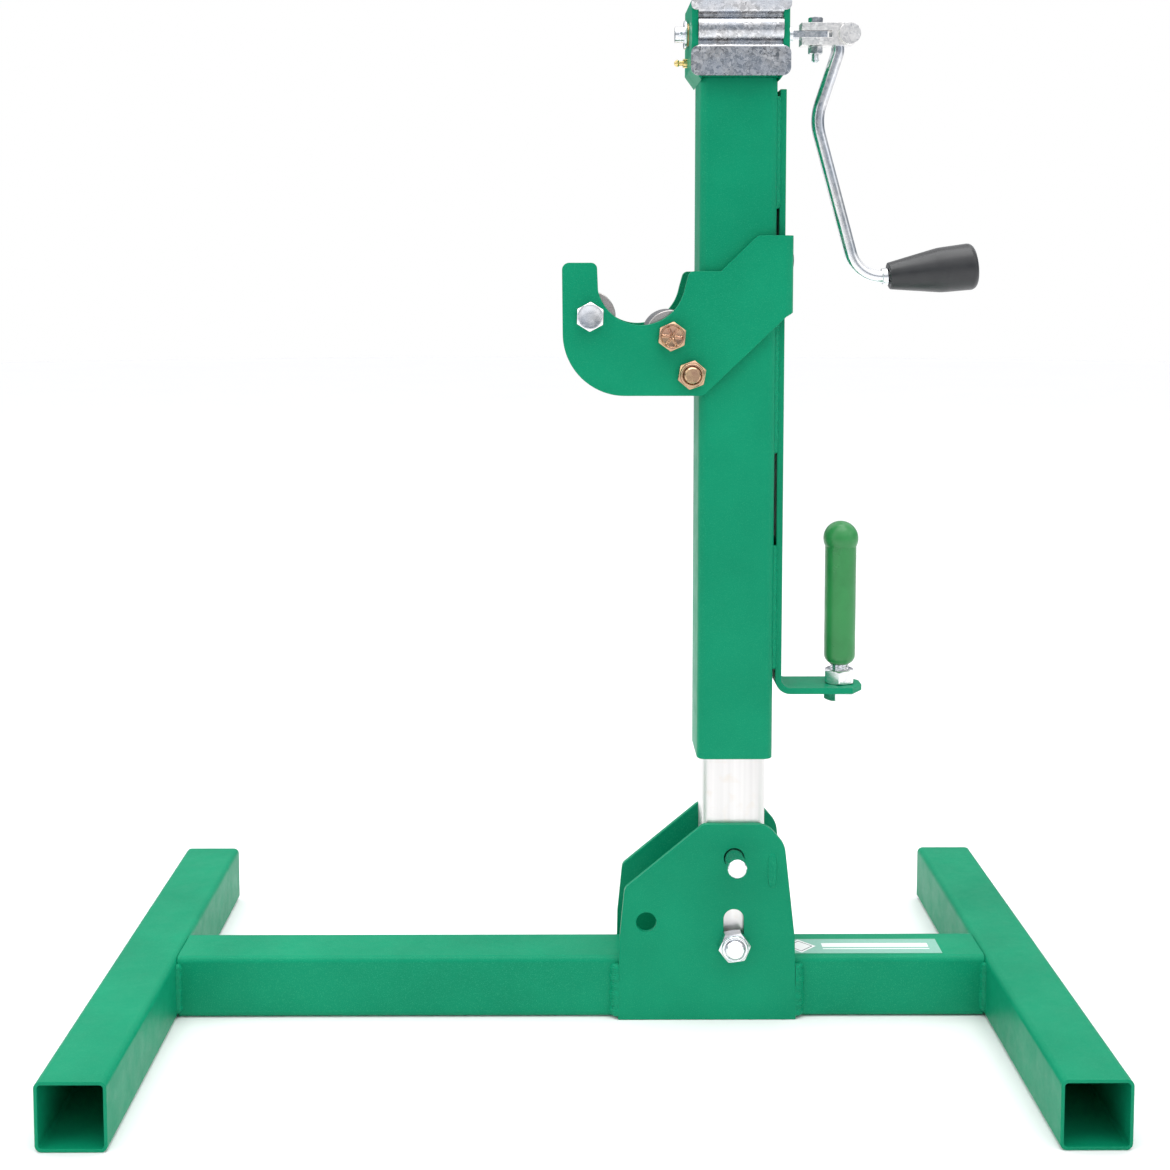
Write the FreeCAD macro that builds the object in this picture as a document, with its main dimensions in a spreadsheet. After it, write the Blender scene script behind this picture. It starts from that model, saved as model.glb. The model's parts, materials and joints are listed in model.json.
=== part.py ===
"""Height-adjustable conduit stand, in millimetres.

A welded H base of square tube carries two ear plates. A telescoping mast stands between them on a
pivot bolt and a lock pin. A side crank turns bevel gears and a lift screw in the mast's head, which
raises the outer tube. A saddle cradle with two rollers slides on the outer tube.

The origin is on the floor under the centre of the base: +X to the crank side, +Y to the back,
+Z up. Outlines of the mast's pieces are drawn from the mast's axis, and mast_x then places them.
"""
import FreeCAD, Part
import math
import os

import Sketcher
from FreeCAD import Rotation, Vector

doc = FreeCAD.newDocument("ConduitStand")

# ---------------------------------------------------------------- driving dimensions
SIZES = (
    ("base_width", 952.5, "overall, across both feet"),
    ("foot_length", 584.2, "along Y"),
    ("base_tube", 63.5, "outer width of the base's square tube"),
    ("base_wall", 3.175, "wall of the base's square tube"),
    ("mast_x", 155.0, "mast axis, from the middle of the base"),
    ("plate", 6.35, "ear plates, cheeks, strap and cradle"),
    ("outer_tube", 76.2, "outer width of the mast's outer tube"),
    ("inner_tube", 63.5, "outer width of the mast's inner tube"),
    ("mast_wall", 4.7625, "wall of both mast tubes"),
    ("inner_bottom", 65.0, "height of the inner tube's lower end"),
    ("inner_top", 860.0, "height of the inner tube's upper end"),
    ("outer_bottom", 271.0, "height of the outer tube's lower end"),
    ("outer_top", 950.0, "height of the outer tube's upper end"),
    ("pivot_height", 80.0, "pivot bolt axis"),
    ("pin_reach", 88.9, "lock pin axis above the pivot bolt axis"),
    ("slot_travel", 25.4, "lift of the pivot bolt in its slots"),
    ("pin_hole", 20.64, "holes and slots for the pivot bolt and the lock pin"),
    ("pin_rod", 19.05, "pivot bolt, lock pin and handle bolt"),
    ("pin_nose", 31.9, "lock pin in front of the front ear"),
    ("big_hex", 28.575, "across flats, pivot and handle bolts"),
    ("shaft_height", 996.0, "crank shaft axis"),
    ("shaft_rod", 15.875, "crank shaft"),
    ("bushing", 22.225, "outside of the crank shaft's bushings"),
    ("cheek_inside", 82.6, "between the head's cheeks"),
    ("cheek_depth", 92.0, "along Y"),
    ("cheek_top", 1024.0, "top of the cheeks"),
    ("screw_rod", 19.05, "lift screw"),
    ("screw_bottom", 480.0, "lower end of the lift screw"),
    ("running", 0.05, "radial clearance of a turning fit"),
    ("gear_pitch", 38.0, "pitch diameter of both bevel gears"),
    ("gear_teeth", 16.0, "teeth on each bevel gear"),
    ("saddle_radius", 43.5, "throat of the cradle"),
    ("roller", 50.8, "roller diameter"),
    ("roller_length", 76.2, "along Y"),
    ("cradle_bolt", 15.875, "roller bolts and lock bolt"),
    ("cradle_hex", 25.4, "across flats of the cradle's bolts"),
    ("clamp_bolt", 7.9375, "bolt that clamps the crank's yoke to the shaft"),
    ("clamp_hole", 8.2, "its holes in the yoke and the shaft's tongue"),
    ("wing_gap", 1.0, "between a cradle wing and the outer tube"),
    ("crank_rod", 12.7, "bent rod of the crank"),
    ("grip_slope", 6.6, "degrees, rise of the crank grip's axis"),
    ("handle_x", 110.5, "carry handle, from the mast axis"),
    ("handle_grip", 31.6, "diameter of the carry handle"),
)
sheet = doc.addObject("Spreadsheet::Sheet", "Sizes")
for row, (alias, value, note) in enumerate(SIZES, start=1):
    sheet.set(f"A{row}", alias)
    sheet.set(f"B{row}", str(value))
    sheet.set(f"C{row}", note)
    sheet.setAlias(f"B{row}", alias)
doc.recompute()


def size(alias):
    """The number in one named cell."""
    return float(sheet.get(alias))


PLATE = size("plate")
HALF_OUTER = size("outer_tube") / 2
HALF_INNER = size("inner_tube") / 2
HALF_BASE = size("base_tube") / 2
PIVOT_Z = size("pivot_height")
PIN_Z = PIVOT_Z + size("pin_reach")
SHAFT_Z = size("shaft_height")
CHEEK_IN = size("cheek_inside") / 2
EAR_FRONT = -HALF_BASE - PLATE
WING_IN = HALF_OUTER + size("wing_gap")
WING_OUT = WING_IN + PLATE
STRAP_IN = HALF_OUTER + 3.3
STRAP_OUT = STRAP_IN + PLATE
SPINE_IN = STRAP_OUT + 0.45
SPINE_OUT = SPINE_IN + PLATE
STRAP_LEG_Z = 334.3
ROLLER_AXES = {"left": (-146.2, 717.0), "right": (-66.0, 697.7)}
LOCK_BOLT_X = -(HALF_OUTER + 0.4 + size("cradle_bolt") / 2)
LOCK_BOLT_Z = 660.0
SPINE_BOLT_Z = 772.0
EAR_LEFT, EAR_RIGHT = -117.4, 64.1
TONGUE_END, CLAMP_X = 90.0, 79.0
YOKE_START, BOSS_X = 64.0, 111.5
GRIP_START = (148.6, 755.7)
parts = []


# ---------------------------------------------------------------- helpers
def keep(item, label, on_mast=True):
    """Name a finished sub-part, put it on the mast's axis if it belongs there, and list it."""
    item.Label = label
    if on_mast:
        item.setExpression("Placement.Base.x", "Sizes.mast_x")
    parts.append(item)
    return item


def body(label, on_mast=True):
    return keep(doc.addObject("PartDesign::Body", label), label, on_mast)


def sketch(owner, plane, offset=0.0):
    """A sketch on one of the body's origin planes, moved along the plane's normal."""
    item = owner.newObject("Sketcher::SketchObject", f"{owner.Label}_sketch")
    support = next(face for face in owner.Origin.OriginFeatures if face.Role == f"{plane}_Plane")
    item.AttachmentSupport = (support, [""])
    item.MapMode = "FlatFace"
    item.AttachmentOffset = FreeCAD.Placement(Vector(0, 0, offset), Rotation())
    return item


def circle(item, across, up, diameter):
    """A circle whose diameter is bound to an expression over the sheet."""
    index = item.addGeometry(Part.Circle(Vector(across, up, 0), Vector(0, 0, 1), 5.0), False)
    rule = item.addConstraint(Sketcher.Constraint("Diameter", index, 10.0))
    item.setExpression(f"Constraints[{rule}]", str(diameter))


def rounded(corners):
    """Edges of a closed outline: corners are (across, up) or (across, up, radius)."""
    count = len(corners)
    points = [Vector(corner[0], corner[1], 0) for corner in corners]
    ends, arcs = [], []
    for place in range(count):
        here = points[place]
        radius = corners[place][2] if len(corners[place]) > 2 else 0.0
        if not radius:
            ends.append((here, here))
            arcs.append(None)
            continue
        back = (points[place - 1] - here).normalize()
        ahead = (points[(place + 1) % count] - here).normalize()
        half = back.getAngle(ahead) / 2
        reach = radius / math.tan(half)
        middle = here + (back + ahead).normalize() * (radius / math.sin(half) - radius)
        first, last = here + back * reach, here + ahead * reach
        ends.append((first, last))
        arcs.append(Part.Arc(first, middle, last))
    edges = []
    for place in range(count):
        if arcs[place]:
            edges.append(arcs[place])
        start, stop = ends[place][1], ends[(place + 1) % count][0]
        if (stop - start).Length > 1e-6:
            edges.append(Part.LineSegment(start, stop))
    return edges


def outline(item, corners):
    item.addGeometry(rounded(corners), False)


def strip(path, thickness):
    """Closed corners of a bent strip: path is its middle line, (across, up, bend radius)."""
    points = [Vector(point[0], point[1], 0) for point in path]
    left, right = [], []
    for place, here in enumerate(points):
        radius = path[place][2] if len(path[place]) > 2 else 0.0
        runs = []
        if place > 0:
            runs.append((here - points[place - 1]).normalize())
        if place < len(points) - 1:
            runs.append((points[place + 1] - here).normalize())
        sides = [Vector(-run.y, run.x, 0) for run in runs]
        along = (sides[0] + sides[-1]).normalize()
        shift = along * (thickness / 2 / along.dot(sides[0]))
        turn = math.copysign(1.0, runs[0].cross(runs[-1]).z) if radius else 0.0
        near, far = here + shift, here - shift
        left.append((near.x, near.y, radius - turn * thickness / 2 if radius else 0.0))
        right.append((far.x, far.y, radius + turn * thickness / 2 if radius else 0.0))
    return left + right[::-1]


def pad(owner, profile, length, symmetric=False, reverse=False):
    """Extrude a sketch: length is a number or an expression over the sheet."""
    feature = owner.newObject("PartDesign::Pad", f"{owner.Label}_pad")
    feature.Profile = profile
    feature.SideType = "Symmetric" if symmetric else "One side"
    feature.Reversed = reverse
    feature.setExpression("Length", str(length))
    return feature


def pocket_through(owner, profile):
    """Cut a sketch through the whole body, both ways, and make sure that it cut something."""
    doc.recompute()
    before = owner.Shape.Volume
    feature = owner.newObject("PartDesign::Pocket", f"{owner.Label}_pocket")
    feature.Profile = profile
    feature.Type = "ThroughAll"
    feature.SideType = "Symmetric"
    doc.recompute()
    if not owner.Shape.Volume < before - 1e-3:
        raise RuntimeError(f"{owner.Label}: a pocket cut nothing")


def revolve(owner, plane, corners):
    """Turn a half section about the sketch's own vertical axis."""
    profile = sketch(owner, plane)
    outline(profile, corners)
    feature = owner.newObject("PartDesign::Revolution", f"{owner.Label}_turned")
    feature.Profile = profile
    feature.ReferenceAxis = (profile, ["V_Axis"])
    feature.Angle = 360.0


def turned(label, corners, at, lay="Z", on_mast=True):
    """A turned piece: (radius, height) half section, then laid along X, Y or Z from a point."""
    owner = body(label, on_mast)
    revolve(owner, "XZ", corners)
    put(owner, at, lay, on_mast)
    return owner


LAYS = {
    "Z": Rotation(),
    "X": Rotation(Vector(0, 1, 0), 90),
    "-X": Rotation(Vector(0, 1, 0), -90),
    "Y": Rotation(Vector(1, 0, 0), -90),
    "-Y": Rotation(Vector(1, 0, 0), 90),
    "-Z": Rotation(Vector(1, 0, 0), 180),
}


def put(item, at, lay="Z", on_mast=True):
    item.Placement = FreeCAD.Placement(Vector(*at), LAYS[lay])
    if on_mast:
        item.setExpression("Placement.Base.x", f"Sizes.mast_x + {at[0]}")


def hexagon(across_flats, turn=0.0):
    """Corners of a hexagon; unturned, one corner points along the first axis."""
    corner = across_flats / math.sqrt(3)
    steps = [math.radians(60 * step + turn) for step in range(6)]
    return [(corner * math.cos(angle), corner * math.sin(angle)) for angle in steps]


def hex_bolt(label, rod, flats, grip, head, at, lay, turn=0.0, nose=1.2):
    """A bolt whose head's underside is at its origin: the head stands below, the rod above."""
    owner = body(label)
    crown = sketch(owner, "XY")
    outline(crown, hexagon(flats, turn))
    pad(owner, crown, head, reverse=True)
    radius = rod / 2
    edge = [(0, -head / 2), (radius, -head / 2), (radius, grip - nose), (radius - nose, grip), (0, grip)]
    revolve(owner, "XZ", edge)
    put(owner, at, lay)
    return owner


def hex_nut(label, rod, flats, height, at, lay, turn=0.0, collar=0.0):
    """A nut, with the round nylon collar of a lock nut where collar is its height."""
    owner = body(label)
    ring = sketch(owner, "XY")
    outline(ring, hexagon(flats, turn))
    circle(ring, 0, 0, rod)
    pad(owner, ring, height)
    if collar:
        insert = sketch(owner, "XY")
        circle(insert, 0, 0, f"{flats * 0.86}")
        circle(insert, 0, 0, rod)
        pad(owner, insert, height + collar)
    put(owner, at, lay)
    return owner


def square_tube(label, plane, side, wall, length, on_mast):
    """A square tube centred on its body's origin, along the plane's normal."""
    owner = body(label, on_mast)
    section = sketch(owner, plane)
    for half, radius in ((side / 2, 2 * wall), (side / 2 - wall, wall)):
        corners = ((-half, -half), (half, -half), (half, half), (-half, half))
        outline(section, [(across, up, radius) for across, up in corners])
    pad(owner, section, length, symmetric=True)
    return owner


def box(label, low, high, on_mast=True):
    """A plain block between two corners."""
    block = keep(doc.addObject("Part::Box", label), label, on_mast)
    return block_between(block, low, high, on_mast)


def block_between(block, low, high, on_mast):
    block.Length, block.Width, block.Height = (top - bottom for bottom, top in zip(low, high))
    put(block, low, "Z", on_mast)
    return block


def fused(label, shapes, on_mast=True):
    """Several separate solids, or one solid made of several, kept as one sub-part."""
    item = doc.addObject("Part::Feature", label)
    item.Shape = shapes
    return keep(item, label, on_mast)


def extruded(name, plane, corners, length, holes=()):
    """A Part extrusion of an outline, centred on its plane, with round holes."""
    flat = doc.addObject("Sketcher::SketchObject", f"{name}_sketch")
    if plane == "XZ":
        flat.Placement = FreeCAD.Placement(Vector(), Rotation(Vector(1, 0, 0), 90))
    if plane == "YZ":
        flat.Placement = FreeCAD.Placement(Vector(), Rotation(Vector(1, 1, 1), 120))
    outline(flat, corners)
    for across, up, diameter in holes:
        circle(flat, across, up, diameter)
    item = doc.addObject("Part::Extrusion", name)
    item.Base = flat
    item.DirMode = "Normal"
    item.Solid = True
    item.Symmetric = True
    item.LengthFwd = length
    return item


# ---------------------------------------------------------------- base
def base():
    span = size("base_width")
    tube, wall = size("base_tube"), size("base_wall")
    for label, side in (("left_foot", -1), ("right_foot", 1)):
        foot = square_tube(label, "XZ", tube, wall, "Sizes.foot_length", False)
        foot.setExpression("Placement.Base.x", f"{side} * (Sizes.base_width - Sizes.base_tube) / 2")
        foot.setExpression("Placement.Base.z", "Sizes.base_tube / 2")
    length = "Sizes.base_width - 2 * Sizes.base_tube"
    crossbar = square_tube("crossbar", "YZ", tube, wall, length, False)
    crossbar.setExpression("Placement.Base.z", "Sizes.base_tube / 2")
    inner_edge = span / 2 - tube
    beads = [
        bead(side * inner_edge, front * HALF_BASE, -side, front, 5.0)
        for side in (-1, 1)
        for front in (-1, 1)
    ]
    fused("foot_welds", Part.makeCompound(beads), False)
    left, right, front, back = 48.0, 216.0, -24.0, 12.0
    film = 0.4
    box("label_plate", (left, front, tube), (right, back, tube + film))


def bead(x, y, toward_x, toward_y, leg):
    """A fillet weld: a triangular prism in the corner at (x, y), as tall as the flat of the tube."""
    round_corner = 2 * size("base_wall")
    corner = Vector(x, y, round_corner)
    triangle = [corner, corner + Vector(toward_x * leg, 0, 0), corner + Vector(0, toward_y * leg, 0)]
    face = Part.Face(Part.makePolygon(triangle + [corner]))
    return face.extrude(Vector(0, 0, size("base_tube") - 2 * round_corner))


# ---------------------------------------------------------------- ears, pivot and lock pin
def ears():
    spare_z = PIVOT_Z + size("slot_travel") - 3.2
    corners = [
        (EAR_LEFT, 0),
        (EAR_RIGHT, 0),
        (62.2, 86),
        (51.3, 182.5, 22),
        (33.5, 203.7, 22),
        (-31.5, 203.7, 8),
        (-111.0, 137.5, 9),
        (-116, 86),
    ]
    radius = size("pin_hole") / 2
    slot_top = PIVOT_Z + size("slot_travel")
    for label, front in (("front_ear", True), ("rear_ear", False)):
        plate = body(label)
        shape = sketch(plate, "XZ", HALF_BASE if front else -HALF_BASE)
        outline(shape, corners)
        pad(plate, shape, "Sizes.plate", reverse=not front)
        holes = sketch(plate, "XZ")
        circle(holes, 0, PIN_Z, "Sizes.pin_hole")
        circle(holes, -size("pin_reach"), spare_z, "Sizes.pin_hole")
        slot = [(-radius, PIVOT_Z - radius), (radius, PIVOT_Z - radius)]
        slot += [(radius, slot_top + radius), (-radius, slot_top + radius)]
        outline(holes, [(across, up, radius - 0.001) for across, up in slot])
        pocket_through(plate, holes)
    beads = [
        bead(edge, front * HALF_BASE, side, front, PLATE - 0.35)
        for edge, side in ((EAR_LEFT, -1), (EAR_RIGHT, 1))
        for front in (-1, 1)
    ]
    fused("ear_welds", Part.makeCompound(beads))
    box("mast_stop_bar", (34.0, -HALF_BASE, 137.0), (43.5, HALF_BASE, 175.0))


def pivot_and_pin():
    rod, flats = size("pin_rod"), size("big_hex")
    back = -EAR_FRONT
    hex_bolt("pivot_bolt", rod, flats, back - EAR_FRONT + 19.0, 12.0, (0, back, PIVOT_Z), "-Y", 30)
    hex_nut("pivot_nut", rod, flats, 13.0, (0, EAR_FRONT, PIVOT_Z), "-Y", 8, collar=3.2)
    nose = EAR_FRONT - size("pin_nose")
    radius = rod / 2
    flange, flange_top, neck = 16.0, 8.0, 26.0
    length = back - nose
    section = [(0, 0), (radius - 0.8, 0), (radius, 0.8), (radius, length), (flange, length)]
    section += [(flange, length + flange_top), (radius, length + flange_top)]
    section += [(radius, length + neck, 2.0), (0, length + neck)]
    pin = turned("lock_pin", section, (0, nose, PIN_Z), "Y")
    cross = sketch(pin, "YZ")
    circle(cross, 0, length + 17.0, "9.525")
    pocket_through(pin, cross)
    half = 30.0
    bar = [(0, -half), (4.7625, -half, 1.5), (4.7625, half, 1.5), (0, half)]
    turned("lock_pin_handle", bar, (0, back + 17.0, PIN_Z), "X")


# ---------------------------------------------------------------- mast tubes
def mast_tubes():
    wall = size("mast_wall")
    length = "Sizes.inner_top - Sizes.inner_bottom"
    inner = square_tube("inner_tube", "XY", size("inner_tube"), wall, length, True)
    inner.setExpression("Placement.Base.z", "(Sizes.inner_top + Sizes.inner_bottom) / 2")
    holes = sketch(inner, "XZ")
    middle = (size("inner_top") + size("inner_bottom")) / 2
    for height in (PIVOT_Z, PIN_Z):
        circle(holes, 0, height - middle, "Sizes.pin_hole")
    pocket_through(inner, holes)
    length = "Sizes.outer_top - Sizes.outer_bottom"
    outer = square_tube("outer_tube", "XY", size("outer_tube"), wall, length, True)
    outer.setExpression("Placement.Base.z", "(Sizes.outer_top + Sizes.outer_bottom) / 2")
    nut = body("lift_nut")
    section = sketch(nut, "XY")
    half = HALF_INNER - wall
    corners = ((-half, -half), (half, -half), (half, half), (-half, half))
    outline(section, [(across, up, 6.0) for across, up in corners])
    circle(section, 0, 0, "Sizes.screw_rod + 2 * Sizes.running")
    pad(nut, section, 25.4, reverse=True)
    nut.setExpression("Placement.Base.z", "Sizes.inner_top")


# ---------------------------------------------------------------- head: gear case, screw and gears
def head():
    outer_top = size("outer_top")
    for label, side in (("left_cheek", -1), ("right_cheek", 1)):
        cheek = body(label)
        shape = sketch(cheek, "XZ")
        corners = [
            (HALF_OUTER, outer_top - 3.5),
            (CHEEK_IN + PLATE, outer_top + 9.5, 3),
            (CHEEK_IN + PLATE, size("cheek_top")),
            (CHEEK_IN, size("cheek_top")),
            (CHEEK_IN, outer_top + 8),
            (HALF_OUTER, outer_top + 2),
        ]
        outline(shape, [(side * corner[0], *corner[1:]) for corner in corners])
        pad(cheek, shape, "Sizes.cheek_depth", symmetric=True)
        bore = sketch(cheek, "YZ")
        circle(bore, 0, SHAFT_Z, "Sizes.bushing")
        pocket_through(cheek, bore)
        inside, outside = size("shaft_rod") / 2 + size("running"), size("bushing") / 2
        bush = [(inside, 0), (outside, 0), (outside, 9.0), (inside, 9.0)]
        at = (side * (CHEEK_IN - 1.0), 0, SHAFT_Z)
        turned(label.replace("cheek", "bushing"), bush, at, "X" if side > 0 else "-X")
    plate = body("bearing_plate")
    section = sketch(plate, "XY", outer_top)
    half = HALF_OUTER
    outline(section, [(-half, -half), (half, -half), (half, half), (-half, half)])
    circle(section, 0, 0, "Sizes.screw_rod + 2 * Sizes.running")
    pad(plate, section, 7.0)
    race = [(9.8, 0), (22.0, 0, 1.0), (22.0, 9.8, 1.0), (9.8, 9.8)]
    turned("thrust_bearing", race, (0, 0, outer_top + 7.0))
    wall = 5.0
    rear = [(42.5, outer_top + 8.0), (42.5, size("cheek_top") - 3.5, 7), (-45.0, size("cheek_top") - 3.5)]
    closing = body("head_back")
    section = sketch(closing, "YZ")
    outline(section, strip(rear, wall))
    pad(closing, section, "Sizes.cheek_inside", symmetric=True)
    cover()
    fitting = [(0, 0), (4.6, 0), (4.6, 4.0), (2.6, 4.6), (2.6, 8.0)]
    fitting += [(3.6, 9.4), (3.6, 10.6), (1.6, 13.0), (0, 13.0)]
    turned("grease_fitting", fitting, (-CHEEK_IN - PLATE, 15.0, 970.0), "-X")


def cover():
    """Bent zinc cover: a front tab, a half-round bead over the shaft, and an upper lip."""
    thickness = 2.0
    tab_y, web_y, bead_y = -48.4, -40.0, -50.6
    low, high = SHAFT_Z - 10.6, SHAFT_Z + 10.6
    foot = 950.5
    section = [
        (tab_y, foot),
        (tab_y, 980.0, 2.2),
        (web_y, 980.0, 2.0),
        (web_y, low, 1.6),
        (bead_y, low, 9.0),
        (bead_y, high, 9.0),
        (web_y, high, 1.6),
        (web_y, 1012.0, 2.0),
        (tab_y, 1012.0, 2.2),
        (tab_y - 2.5, 1023.0),
    ]
    bent = extruded("cover_section", "YZ", strip(section, thickness), 120.0)
    wide, neck = 48.5, CHEEK_IN
    front = [
        (-wide, foot, 8.0),
        (wide, foot, 8.0),
        (wide, 979.0, 7.0),
        (neck, 979.0, 0.0),
        (neck, 1013.1, 0.0),
        (wide, 1013.5, 5.0),
        (wide, 1030.0),
        (-wide, 1030.0),
        (-wide, 1013.5, 5.0),
        (-neck, 1013.1, 0.0),
        (-neck, 979.0, 0.0),
        (-wide, 979.0, 7.0),
    ]
    blank = extruded("cover_front", "XZ", front, 140.0)
    sheet_metal = doc.addObject("Part::Common", "head_cover")
    sheet_metal.Base, sheet_metal.Tool = bent, blank
    keep(sheet_metal, "head_cover")


def bevel_gear(label, axis, hub_end, turn):
    """A mitre gear with its apex at the crossing of both shafts: straight teeth taper to it."""
    pitch = size("gear_pitch") / 2
    teeth = int(size("gear_teeth"))
    module = 2 * pitch / teeth
    above, below = 0.75 * module, 1.05 * module
    toe = 0.64
    slant = math.sqrt(0.5)
    bore = size("shaft_rod" if axis == "-X" else "screw_rod") / 2
    tip = (pitch - above * slant, pitch + above * slant)
    root = (pitch + below * slant, pitch - below * slant)
    sunk = (pitch + (below + 0.6) * slant, pitch - (below + 0.6) * slant)
    profile = [
        (bore, toe * root[0]),
        (toe * root[1], toe * root[0]),
        (root[1], root[0]),
        (root[1], root[0] + 2.0),
        (bore + 4.5, root[0] + 2.0),
        (bore + 4.5, hub_end),
        (bore, hub_end),
    ]
    points = [Vector(radius, 0, -depth) for radius, depth in profile]
    blank = Part.Face(Part.makePolygon(points + [points[0]])).revolve(Vector(), Vector(0, 0, 1), 360)
    half_pitch_width = 0.19 * math.pi * module
    lean = math.tan(math.radians(20))
    tip_half = half_pitch_width - above * lean
    sunk_half = half_pitch_width + (below + 0.6) * lean

    def ring(scale):
        corners = [
            Vector(tip[1], -tip_half, -tip[0]),
            Vector(tip[1], tip_half, -tip[0]),
            Vector(sunk[1], sunk_half, -sunk[0]),
            Vector(sunk[1], -sunk_half, -sunk[0]),
        ]
        corners = [corner * scale for corner in corners]
        return Part.makePolygon(corners + [corners[0]])

    tooth = Part.makeLoft([ring(1.0), ring(toe)], True, True)
    solid = blank
    for step in range(teeth):
        copy = tooth.copy()
        copy.rotate(Vector(), Vector(0, 0, 1), turn + 360.0 * step / teeth)
        solid = solid.fuse(copy)
    item = fused(label, solid.removeSplitter())
    put(item, (0, 0, SHAFT_Z), "X" if axis == "-X" else "Z")


def drive():
    teeth = size("gear_teeth")
    bevel_gear("screw_gear", "Z", 29.0, 180.0 / teeth)
    bevel_gear("pinion", "-X", 29.0, 0.0)
    radius = size("screw_rod") / 2
    bottom, plate_z = size("screw_bottom"), size("outer_top")
    section = [
        (0, bottom),
        (radius - 2, bottom),
        (radius, bottom + 2),
        (radius, plate_z - 8.2),
        (16.0, plate_z - 8.2),
        (16.0, plate_z - 0.2),
        (radius, plate_z - 0.2),
        (radius, SHAFT_Z - 13.5),
        (0, SHAFT_Z - 13.5),
    ]
    turned("lift_screw", section, (0, 0, 0))
    shaft()


# ---------------------------------------------------------------- crank
def shaft():
    """Crank shaft: round through the head, then a flat tongue with a cross hole."""
    left, round_end = -61.0, 56.0
    thick, wide = 6.35, 15.0
    owner = body("crank_shaft")
    section = sketch(owner, "YZ", left)
    circle(section, 0, SHAFT_Z, "Sizes.shaft_rod")
    pad(owner, section, round_end - left)
    tongue = sketch(owner, "YZ", round_end)
    signs = ((-1, -1), (1, -1), (1, 1), (-1, 1))
    outline(tongue, [(across * wide / 2, SHAFT_Z + up * thick / 2) for across, up in signs])
    pad(owner, tongue, TONGUE_END - round_end)
    holes = sketch(owner, "XY")
    circle(holes, CLAMP_X, 0, "Sizes.clamp_hole")
    pocket_through(owner, holes)
    cotter = sketch(owner, "XZ")
    circle(cotter, left + 5.0, SHAFT_Z, "3.2")
    pocket_through(owner, cotter)
    washer = [(size("shaft_rod") / 2, 0), (14.0, 0, 0.6), (14.0, 2.6, 0.6), (size("shaft_rod") / 2, 2.6)]
    turned("shaft_washer", washer, (-CHEEK_IN - 8.2, 0, SHAFT_Z), "-X")
    pin = [(0, -13.0), (1.6, -13.0, 0.6), (1.6, 12.0), (3.4, 12.0, 1.0), (3.4, 15.0, 1.0), (0, 15.0)]
    turned("cotter_pin", pin, (left + 5.0, 0, SHAFT_Z), "Y")


def crank():
    yoke()
    top, bottom = SHAFT_Z + 11.0, SHAFT_Z - 11.0
    rod_size, flats = size("clamp_bolt"), 12.7
    hex_bolt("clamp_bolt", rod_size, flats, top - bottom + 16.0, 6.0, (CLAMP_X, 0, top), "-Z", 10)
    hex_nut("clamp_nut", "Sizes.clamp_bolt", flats, 8.0, (CLAMP_X, 0, bottom), "-Z", 20)
    rod = body("crank_rod")
    path = sketch(rod, "XZ")
    start = Vector(101.5, bottom, 0)
    bends = [(start.x, start.y), (start.x, 979.0, 14.0), (79.8, 912.7, 55.0)]
    bends += [(124.1, 752.8, 32.0), GRIP_START]
    path.addGeometry(open_path(bends), False)
    section = sketch(rod, "XY", bottom)
    circle(section, start.x, 0, "Sizes.crank_rod")
    doc.recompute()
    pipe = rod.newObject("PartDesign::AdditivePipe", "crank_rod_sweep")
    pipe.Profile = section
    pipe.Spine = (path, [])
    slope = Rotation(Vector(0, 1, 0), 90 - size("grip_slope"))
    at = FreeCAD.Placement(Vector(size("mast_x") + GRIP_START[0], 0, GRIP_START[1]), slope)
    collar, spindle, length = 8.5, 4.7625, 84.0
    pieces = body("grip_spindle", False)
    outer = [(0, 0), (collar, 0, 1.0), (collar, 6.0, 1.0), (spindle, 6.0), (spindle, length), (0, length)]
    revolve(pieces, "XZ", outer)
    pieces.Placement = at
    grip = body("crank_grip", False)
    bore = spindle + 2 * size("running")
    start_z, end_z = 6.6, 94.0
    shape = [
        (bore, start_z),
        (13.4, start_z, 1.5),
        (17.6, 30.0, 60.0),
        (22.6, 58.0, 60.0),
        (23.6, end_z, 6.5),
        (0, end_z),
        (0, length + 1.0),
        (bore, length + 1.0),
    ]
    revolve(grip, "XZ", shape)
    grip.Placement = at


def open_path(bends):
    """Edges of an open path with rounded corners."""
    closed = rounded(bends + [(bends[-1][0], bends[0][1])])
    return closed[:-2]


def yoke():
    """A forked block that straddles the shaft's tongue, with a round boss at its outer end."""
    half, slot = 11.0, 6.9
    block = doc.addObject("Part::Box", "yoke_block")
    block_between(block, (YOKE_START, -10.0, SHAFT_Z - half), (BOSS_X - 2.0, 10.0, SHAFT_Z + half), False)
    boss = doc.addObject("Part::Cylinder", "yoke_boss")
    boss.Radius, boss.Height = 10.6, 27.0
    boss.Placement = FreeCAD.Placement(Vector(BOSS_X, 13.0, SHAFT_Z), LAYS["-Y"])
    solid = doc.addObject("Part::Fuse", "yoke_solid")
    solid.Base, solid.Tool = block, boss
    gap = doc.addObject("Part::Box", "yoke_gap")
    gap_low = (YOKE_START - 1.0, -15.0, SHAFT_Z - slot / 2)
    block_between(gap, gap_low, (TONGUE_END + 4.0, 15.0, SHAFT_Z + slot / 2), False)
    forked = doc.addObject("Part::Cut", "yoke_forked")
    forked.Base, forked.Tool = solid, gap
    hole = doc.addObject("Part::Cylinder", "yoke_hole")
    hole.Radius, hole.Height = size("clamp_hole") / 2, 40.0
    hole.Placement.Base = Vector(CLAMP_X, 0, SHAFT_Z - 20.0)
    drilled = doc.addObject("Part::Cut", "crank_yoke")
    drilled.Base, drilled.Tool = forked, hole
    keep(drilled, "crank_yoke")


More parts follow.
